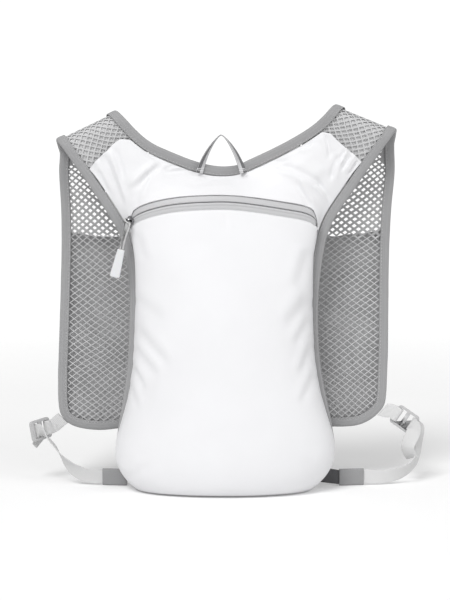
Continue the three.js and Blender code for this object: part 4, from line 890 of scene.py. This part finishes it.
# how far a spot lies from a bent line, on which side, and its share of the way along
def besideLine(spot, start, bend, end):
    def near(t):
        p = start.lerp(bend, t).lerp(bend.lerp(end, t), t)
        ahead = (bend - start).lerp(end - bend, t)
        gap = spot - p
        return gap.length, ahead.x * gap.y - ahead.y * gap.x, t

    best = min(near(i / 10) for i in range(11))
    for step in (0.05, 0.025, 0.0125, 0.006, 0.003):
        best = min([best, *(near(min(max(best[2] + d, 0), 1)) for d in (-step, step))])
    return best


def foldDepth(co, folds):
    spot = Vector((co.x * 1000, co.z * 1000))
    total = 0.0
    for fold in folds:
        start, bend, end = (Vector(fold[k]) for k in ("start", "bend", "end"))
        if (spot - bend).length > max((start - bend).length, (end - bend).length) + 4 * fold["wide"]:
            continue
        gap, turn, share = besideLine(spot, start, bend, end)
        fade = smoothStep(0, 0.2, share) * smoothStep(1, 0.7, share)
        d = math.copysign(gap, turn) * fold["lip"] / fold["wide"]
        total += fold["deep"] * fade * (0.75 * math.exp(-((d - 1.5) / 1.1) ** 2) - math.exp(-(d * d)))
    return total


# slack cloth, held at its seams, pushed out softly until it settles into folds
def settleCloth(piece, s, pinned, slackness):
    mesh = piece.data
    pins = piece.vertex_groups.new(name="seams")
    slack = piece.vertex_groups.new(name="slack")
    rest = [v.co.copy() for v in mesh.vertices]
    for i, co in enumerate(rest):
        pins.add([i], pinned[i], "REPLACE")
        slack.add([i], slackness(co), "REPLACE")
    cloth = piece.modifiers.new("settle", "CLOTH")
    cloth.settings.quality = 6
    cloth.settings.mass = 0.12
    cloth.settings.tension_stiffness = 18
    cloth.settings.compression_stiffness = 18
    cloth.settings.shear_stiffness = 6
    cloth.settings.bending_stiffness = 0.35
    cloth.settings.vertex_group_mass = "seams"
    cloth.settings.pin_stiffness = 1
    cloth.settings.use_pressure = True
    cloth.settings.uniform_pressure_force = s["pressure"]
    cloth.settings.vertex_group_shrink = "slack"
    cloth.settings.shrink_min = 0
    cloth.settings.shrink_max = s["slack"]
    cloth.settings.effector_weights.gravity = 0
    cloth.collision_settings.use_collision = False
    cloth.point_cache.frame_start = 1
    cloth.point_cache.frame_end = s["frames"]
    for f in range(1, s["frames"] + 1):
        bpy.context.scene.frame_set(f)
    applyModifiers(piece)
    bpy.context.scene.frame_set(1)
    cap = s["cap"] * mm
    for v, co in zip(piece.data.vertices, rest):
        move = v.co - co
        if move.length > cap:
            v.co = co + move * (cap / move.length)
    piece.vertex_groups.clear()


def edgeVerts(piece):
    count = {}
    for polygon in piece.data.polygons:
        for key in polygon.edge_keys:
            count[key] = count.get(key, 0) + 1
    return {i for key, n in count.items() if n == 1 for i in key}


# keeps the corners of a skin's edge where they are when it is subdivided
def holdCorners(bm):
    crease = bm.verts.layers.float.new("crease_vert")
    for v in bm.verts:
        rim = [e.other_vert(v).co - v.co for e in v.link_edges if e.is_boundary]
        if len(rim) == 2 and math.pi - rim[0].angle(rim[1]) > math.radians(24):
            v[crease] = 1.0


def makeSkin(name, node, keep, turned, s, slackness, heldAlso, guard):
    edge = finishPiece(outerSkin(node, turned), name + "Edge", "bagCloth", "bag_cloth")
    addModifier(edge, "SOLIDIFY", thickness=s["thick"] * mm, offset=-1)
    bm = outerSkin(node, keep)
    holdCorners(bm)
    piece = finishPiece(bm, name, "bagCloth", "bag_cloth", [node])
    addModifier(piece, "SUBSURF", levels=s["levels"], render_levels=s["levels"], boundary_smooth="PRESERVE_CORNERS")
    applyModifiers(piece)
    rim = edgeVerts(piece)
    pinned = [1.0 if i in rim or heldAlso(v.co) else 0.0 for i, v in enumerate(piece.data.vertices)]
    settleCloth(piece, s, pinned, slackness)
    addModifier(piece, "SUBSURF", levels=s["finer"], render_levels=s["finer"])
    applyModifiers(piece)
    rim = edgeVerts(piece)
    normals = [v.normal.copy() for v in piece.data.vertices]
    for v, normal in zip(piece.data.vertices, normals):
        v.co += normal * (foldDepth(v.co, s["folds"]) * (s["rim"] if v.index in rim else 1) * mm)
    for v in piece.data.vertices:
        guard(v.co)
    for polygon in piece.data.polygons:
        polygon.use_smooth = True
    addModifier(piece, "SOLIDIFY", thickness=s["thick"] * mm, offset=-1)
    return piece


def seamDistance(co, side):
    return min((co - row[0]).length for row in armholeRows[side][2:net["seam"]])


def frontSlack(co):
    side = "left" if co.x < 0 else "right"
    near = seamDistance(co, side)
    return 0.25 + 0.75 * smoothStep(bagFront["seamReach"] * mm, 6 * mm, near)


def yokeSlack(co):
    return 0.35 + 0.65 * smoothStep(0.03, 0.03 + yokeSkin["seamReach"] * mm, abs(co.x))


def guardFloor(co):
    co.z = max(co.z, 0.0)


def guardYoke(co):
    co.y = min(co.y, backPlane - 1.5 * mm)


makeSkin("bagFront", "front_panel", keepFront, frontTurned, bagFront, frontSlack, lambda co: co.z < 1.5 * mm, guardFloor)
makeSkin("bagYoke", "yoke", keepYoke, yokeTurned, yokeSkin, yokeSlack, lambda co: False, guardYoke)
print("stage: bag and yoke")

# ---- zip: two coated tapes with a raised edge at the middle, sewn in with a white stitch

zipSet = dict(ridge=0.9, ridgeWide=0.3, spacing=3.0, seat=0.4)


# rows of a tape: its cloth edge, its middle edge and the way out, left to right
def tapeRows(name):
    rings = sweptRings(name, 4)
    long = max(range(4), key=lambda i: sum((r[i] - r[(i + 1) % 4]).length for r in rings[2:-2]))
    rows = []
    for ring in rings:
        a, b = ring[long], ring[(long + 1) % 4]
        c, d = ring[(long + 2) % 4], ring[(long + 3) % 4]
        if (a + b).y > (c + d).y:
            a, b, c, d = d, c, b, a
        rows.append([a, b, c, d])
    if rows[0][0].x > rows[-1][0].x:
        rows.reverse()
    return rows


def makeTape(name, node, upper):
    rows = [[b, a, (c + d) / 2] if (a.z < b.z) == upper else [a, b, (c + d) / 2] for a, b, c, d in tapeRows(node)]
    at, reach = smoothTrack(rows)  # cloth edge is the far edge from the middle
    length = reach[-1]
    steps = round(length / (zipSet["spacing"] * mm))
    lift = [-0.9, -0.3, 0.35, 0.4, 0.45, 1.0, 1.25, 1.1, 0.5, -0.4]
    spread = [-0.26, -0.02, 0.12, 0.42, 0.62, 0.7, 0.8, 0.9, 0.99, 1.035]
    count = len(lift) - 1
    back = [(1.0, -1.0), (-0.26, -1.3)]
    loop = [*zip(spread, lift), *back]

    def place(a, b):
        edge, middle, behind = at(b * length)
        x, y = loop[round(a * len(loop)) % len(loop)]
        out = ((edge + middle) / 2 - behind).normalized()
        return edge.lerp(middle, x) + out * ((y - zipSet["seat"]) * mm)

    bm = shapedGrid(len(loop), steps, place,
                    lambda a, b: (loop[min(round(a * len(loop)), count)][0] * 7.3 * mm, b * length))
    closeSweep(bm)
    piece = finishPiece(bm, name, "zipTape", "zip_tape", [node])

    def spot(s):
        edge, middle, behind = at(s)
        ahead = at(min(s + 1 * mm, length))[0] - at(max(s - 1 * mm, 0))[0]
        out = ((edge + middle) / 2 - behind).normalized()
        return edge.lerp(middle, 0.02) + out * (0.3 * mm), ahead, out

    stitchRun(name + "Stitches", "threadWhite", "bag_cloth", spot, length, 2 * mm, pitch=2.6, long=1.9, thick=0.45)
    return at, reach


makeTape("zipLower", "zip_tape_lower", False)
makeTape("zipUpper", "zip_tape_upper", True)
print("stage: zip")

# ---- small parts from the frame: rounded metal and plastic

smallParts = dict(
    slider=("zip_slider", "sliderMetal", "slider_metal", 0.35, 2),
    pullTab=("pull_tab", "gripPlastic", "grip_plastic", 0.5, 3),
    buckleLeft=("buckle_left", "bucklePlastic", "buckle_plastic", 0.75, 3),
    buckleRight=("buckle_right", "bucklePlastic", "buckle_plastic", 0.75, 3),
    sleeveLeft=("strap_sleeve_left", "sleeveCloth", "sleeve_cloth", 0.3, 2),
    sleeveRight=("strap_sleeve_right", "sleeveCloth", "sleeve_cloth", 0.3, 2),
    # the anchor tab's near-black finish is painted shade
    anchorRight=("strap_anchor_right", "anchorShadedCloth", "anchor_cloth", 0.3, 2),
)


def makeRounded(name, node, finish, slotName, radius, segments):
    bm = mergedCopy(node)
    bmesh.ops.dissolve_limit(bm, angle_limit=math.radians(2), verts=bm.verts, edges=bm.edges)
    edges = [e for e in bm.edges if len(e.link_faces) == 2 and e.calc_face_angle() > math.radians(35)]
    bmesh.ops.bevel(bm, geom=edges, offset=radius * mm, affect="EDGES", segments=segments, profile=0.5,
                    material=-1, clamp_overlap=True)
    bmesh.ops.triangulate(bm, faces=[f for f in bm.faces if len(f.verts) > 4])
    piece = finishPiece(bm, name, finish, slotName, [node])
    piece.data.set_sharp_from_angle(angle=math.radians(40))
    return piece


for name, values in smallParts.items():
    makeRounded(name, *values)
print("stage: small parts")

# ---- ribbons: webbing, elastic and the hang loop, with a woven face along a UV map in metres

ribbons = dict(
    strapLeft=dict(node="side_strap_left", finish="webbing", slot="webbing", spacing=2.0, soft=7.0),
    strapRight=dict(node="side_strap_right", finish="webbing", slot="webbing", spacing=2.0, soft=7.0),
    elasticLeft=dict(node="elastic_left", finish="elastic", slot="elastic", spacing=1.5, soft=6.0),
    elasticRight=dict(node="elastic_right", finish="elastic", slot="elastic", spacing=1.5, soft=6.0),
    hangLoop=dict(node="hang_loop", finish="loopRibbon", slot="loop_ribbon", spacing=1.0, soft=6.0,
                  stripe=["loopShine"]),
)


def ribbonRows(name):
    rings = sweptRings(name, 4)
    long = max(range(4), key=lambda i: sum((r[i] - r[(i + 1) % 4]).length for r in rings))
    rows = []
    for ring in rings:
        a, b, c, d = (ring[(long + i) % 4] for i in range(4))
        rows.append([(a + b + c + d) / 4, (b + c - a - d) / 4, (a + b - c - d) / 4])
    return rows


def makeRibbon(name, s):
    rows = ribbonRows(s["node"])
    at, reach = smoothTrack(rows)
    length = reach[-1]
    halfWide = sum(r[1].length for r in rows) / len(rows)
    halfThick = sum(r[2].length for r in rows) / len(rows)
    steps = round(length / (s["spacing"] * mm))
    count = 28

    def section(a):
        t = 2 * math.pi * a
        c, d = math.cos(t), math.sin(t)
        power = 2 / s["soft"]
        return math.copysign(abs(c) ** power, c), math.copysign(abs(d) ** power, d)

    def place(a, b):
        p, w, t = at(b * length)
        w = w.normalized()
        t = (t - w * t.dot(w)).normalized()
        x, y = section(a % 1)
        return p + w * (x * halfWide) + t * (y * halfThick)

    bm = shapedGrid(count, steps, place, lambda a, b: (section(a)[0] * halfWide + (0.03 if a > 0.5 else 0), b * length))
    closeSweep(bm)
    piece = finishPiece(bm, name, s["finish"], s["slot"], [s["node"]], s.get("stripe", ()))
    piece.data.set_sharp_from_angle(angle=math.radians(60))
    return piece, at, reach


# the loop's inner half is a bright woven stripe, and white bar tacks hold its feet
def stripeLoop(piece, at, reach):
    uv = piece.data.uv_layers["UVMap"].data
    outwards = 1 if at(0)[1].x * (at(0)[0].x - at(reach[-1] / 2)[0].x) > 0 else -1
    for polygon in piece.data.polygons:
        across = sum(uv[i].uv.x for i in polygon.loop_indices) / polygon.loop_total
        across -= 0.03 if across > 0.015 else 0
        along = sum(uv[i].uv.y for i in polygon.loop_indices) / polygon.loop_total
        leg = outwards if along < reach[-1] / 2 else -outwards
        polygon.material_index = 1 if across * leg < -0.0008 else 0
    for i, s in enumerate((3.2 * mm, 5.2 * mm, reach[-1] - 5.2 * mm, reach[-1] - 3.2 * mm)):
        p, w, t = at(s)
        across = Vector((1, 0, 0.12 if i % 2 else -0.12))
        front = p.y - abs(w.y) - abs(t.y) - 1.9 * mm
        start = Vector((p.x, front, p.z)) - across * 3.6 * mm
        stitchRun(f"loopTack{i + 1}", "threadWhite", "loop_ribbon",
                  lambda d: (start + across * d, across, Vector((0, -1, 0))), 7.2 * mm, pitch=1.2, long=1.3, thick=0.85)


for name, s in ribbons.items():
    made = makeRibbon(name, s)
    if "stripe" in s:
        stripeLoop(*made)


# the pull's cord: round, with two families of braid strands winding round it
pullCord = dict(spacing=0.5, around=16, strands=5, turn=1.15, relief=0.11)


def makeCord(s):
    rows = []
    for ring in sweptRings("pull_cord", 8):
        middle = sum(ring, Vector()) / 8
        rows.append([middle, ring[0] - middle])
    at, reach = smoothTrack(rows)
    length = reach[-1]
    radius = sum(r[1].length for r in rows) / len(rows)
    steps = round(length / (s["spacing"] * mm))

    def place(a, b):
        along = b * length
        p, out = at(along)
        ahead = (at(min(along + 0.3 * mm, length))[0] - at(max(along - 0.3 * mm, 0))[0]).normalized()
        out = (out - ahead * out.dot(ahead)).normalized()
        side = ahead.cross(out)
        t = 2 * math.pi * a
        wind = s["strands"] * t / 2
        lay = along / (radius * s["turn"])
        braid = max(math.cos(wind + lay), math.cos(wind - lay))
        r = radius * (1 - s["relief"] + s["relief"] * braid)
        return p + (out * math.cos(t) + side * math.sin(t)) * r

    bm = shapedGrid(s["around"], steps, place, lambda a, b: (a * 2 * math.pi * radius, b * length))
    closeSweep(bm)
    print("cord length", round(length * 1000, 1))
    return finishPiece(bm, "pullCord", "cordBraid", "cord", ["pull_cord"])


makeCord(pullCord)
print("stage: ribbons")

# ---- floor and light

light = dict(sky=0.50, shown=1.06, key=425.0, fill=95.0, floor=(0.90, 0.90, 0.90), glow=0.125, clear=(0.7, 1.6))


def makeStage(s):
    bm = bmesh.new()
    bmesh.ops.create_grid(bm, x_segments=1, y_segments=1, size=6)
    mesh = bpy.data.meshes.new("floor")
    bm.to_mesh(mesh)
    bm.free()
    floor = bpy.data.objects.new("floor", mesh)
    bpy.context.scene.collection.objects.link(floor)
    floor.location.z = -0.0003
    material = bpy.data.materials.new("floorPaper")
    material.use_nodes = True
    surface = material.node_tree.nodes["Principled BSDF"]
    surface.inputs["Base Color"].default_value = (*s["floor"], 1)
    surface.inputs["Roughness"].default_value = 0.9
    surface.inputs["Specular IOR Level"].default_value = 0.1
    surface.inputs["Emission Color"].default_value = (1, 1, 1, 1)
    seen = material.node_tree.nodes.new("ShaderNodeLightPath").outputs["Is Camera Ray"]
    glow = mathNode(material.node_tree, "MULTIPLY", seen, s["glow"])
    material.node_tree.links.new(glow, surface.inputs["Emission Strength"])
    # far from the object the paper clears away into the white of the studio
    place = material.node_tree.nodes.new("ShaderNodeTexCoord")
    reach = material.node_tree.nodes.new("ShaderNodeVectorMath")
    reach.operation = "LENGTH"
    material.node_tree.links.new(place.outputs["Object"], reach.inputs[0])
    fade = material.node_tree.nodes.new("ShaderNodeMapRange")
    fade.inputs["From Min"].default_value, fade.inputs["From Max"].default_value = s["clear"]
    fade.inputs["To Min"].default_value, fade.inputs["To Max"].default_value = 1.0, 0.0
    material.node_tree.links.new(reach.outputs["Value"], fade.inputs["Value"])
    material.node_tree.links.new(fade.outputs["Result"], surface.inputs["Alpha"])
    mesh.materials.append(material)
    world = bpy.data.worlds.new("studio")
    bpy.context.scene.world = world
    world.use_nodes = True
    tree = world.node_tree
    background = tree.nodes["Background"]
    background.inputs["Color"].default_value = (1, 1, 1, 1)
    seen = tree.nodes.new("ShaderNodeLightPath").outputs["Is Camera Ray"]
    tree.links.new(mathNode(tree, "MULTIPLY_ADD", seen, s["shown"] - s["sky"], s["sky"]), background.inputs["Strength"])
    for name, place, size, power in (
        ("keyLight", (-2.6, -5.4, 6.6), 3.4, s["key"]),
        ("fillLight", (5.0, -4.0, 3.4), 4.0, s["fill"]),
    ):
        lamp = bpy.data.lights.new(name, "AREA")
        lamp.shape = "SQUARE"
        lamp.size = size
        lamp.energy = power
        item = bpy.data.objects.new(name, lamp)
        bpy.context.scene.collection.objects.link(item)
        item.location = place
        item.rotation_euler = (Vector((0, backPlane, 0.2)) - Vector(place)).to_track_quat("-Z", "Y").to_euler()
    bpy.context.scene.view_settings.view_transform = "Standard"


makeStage(light)
print("stage: floor and light")
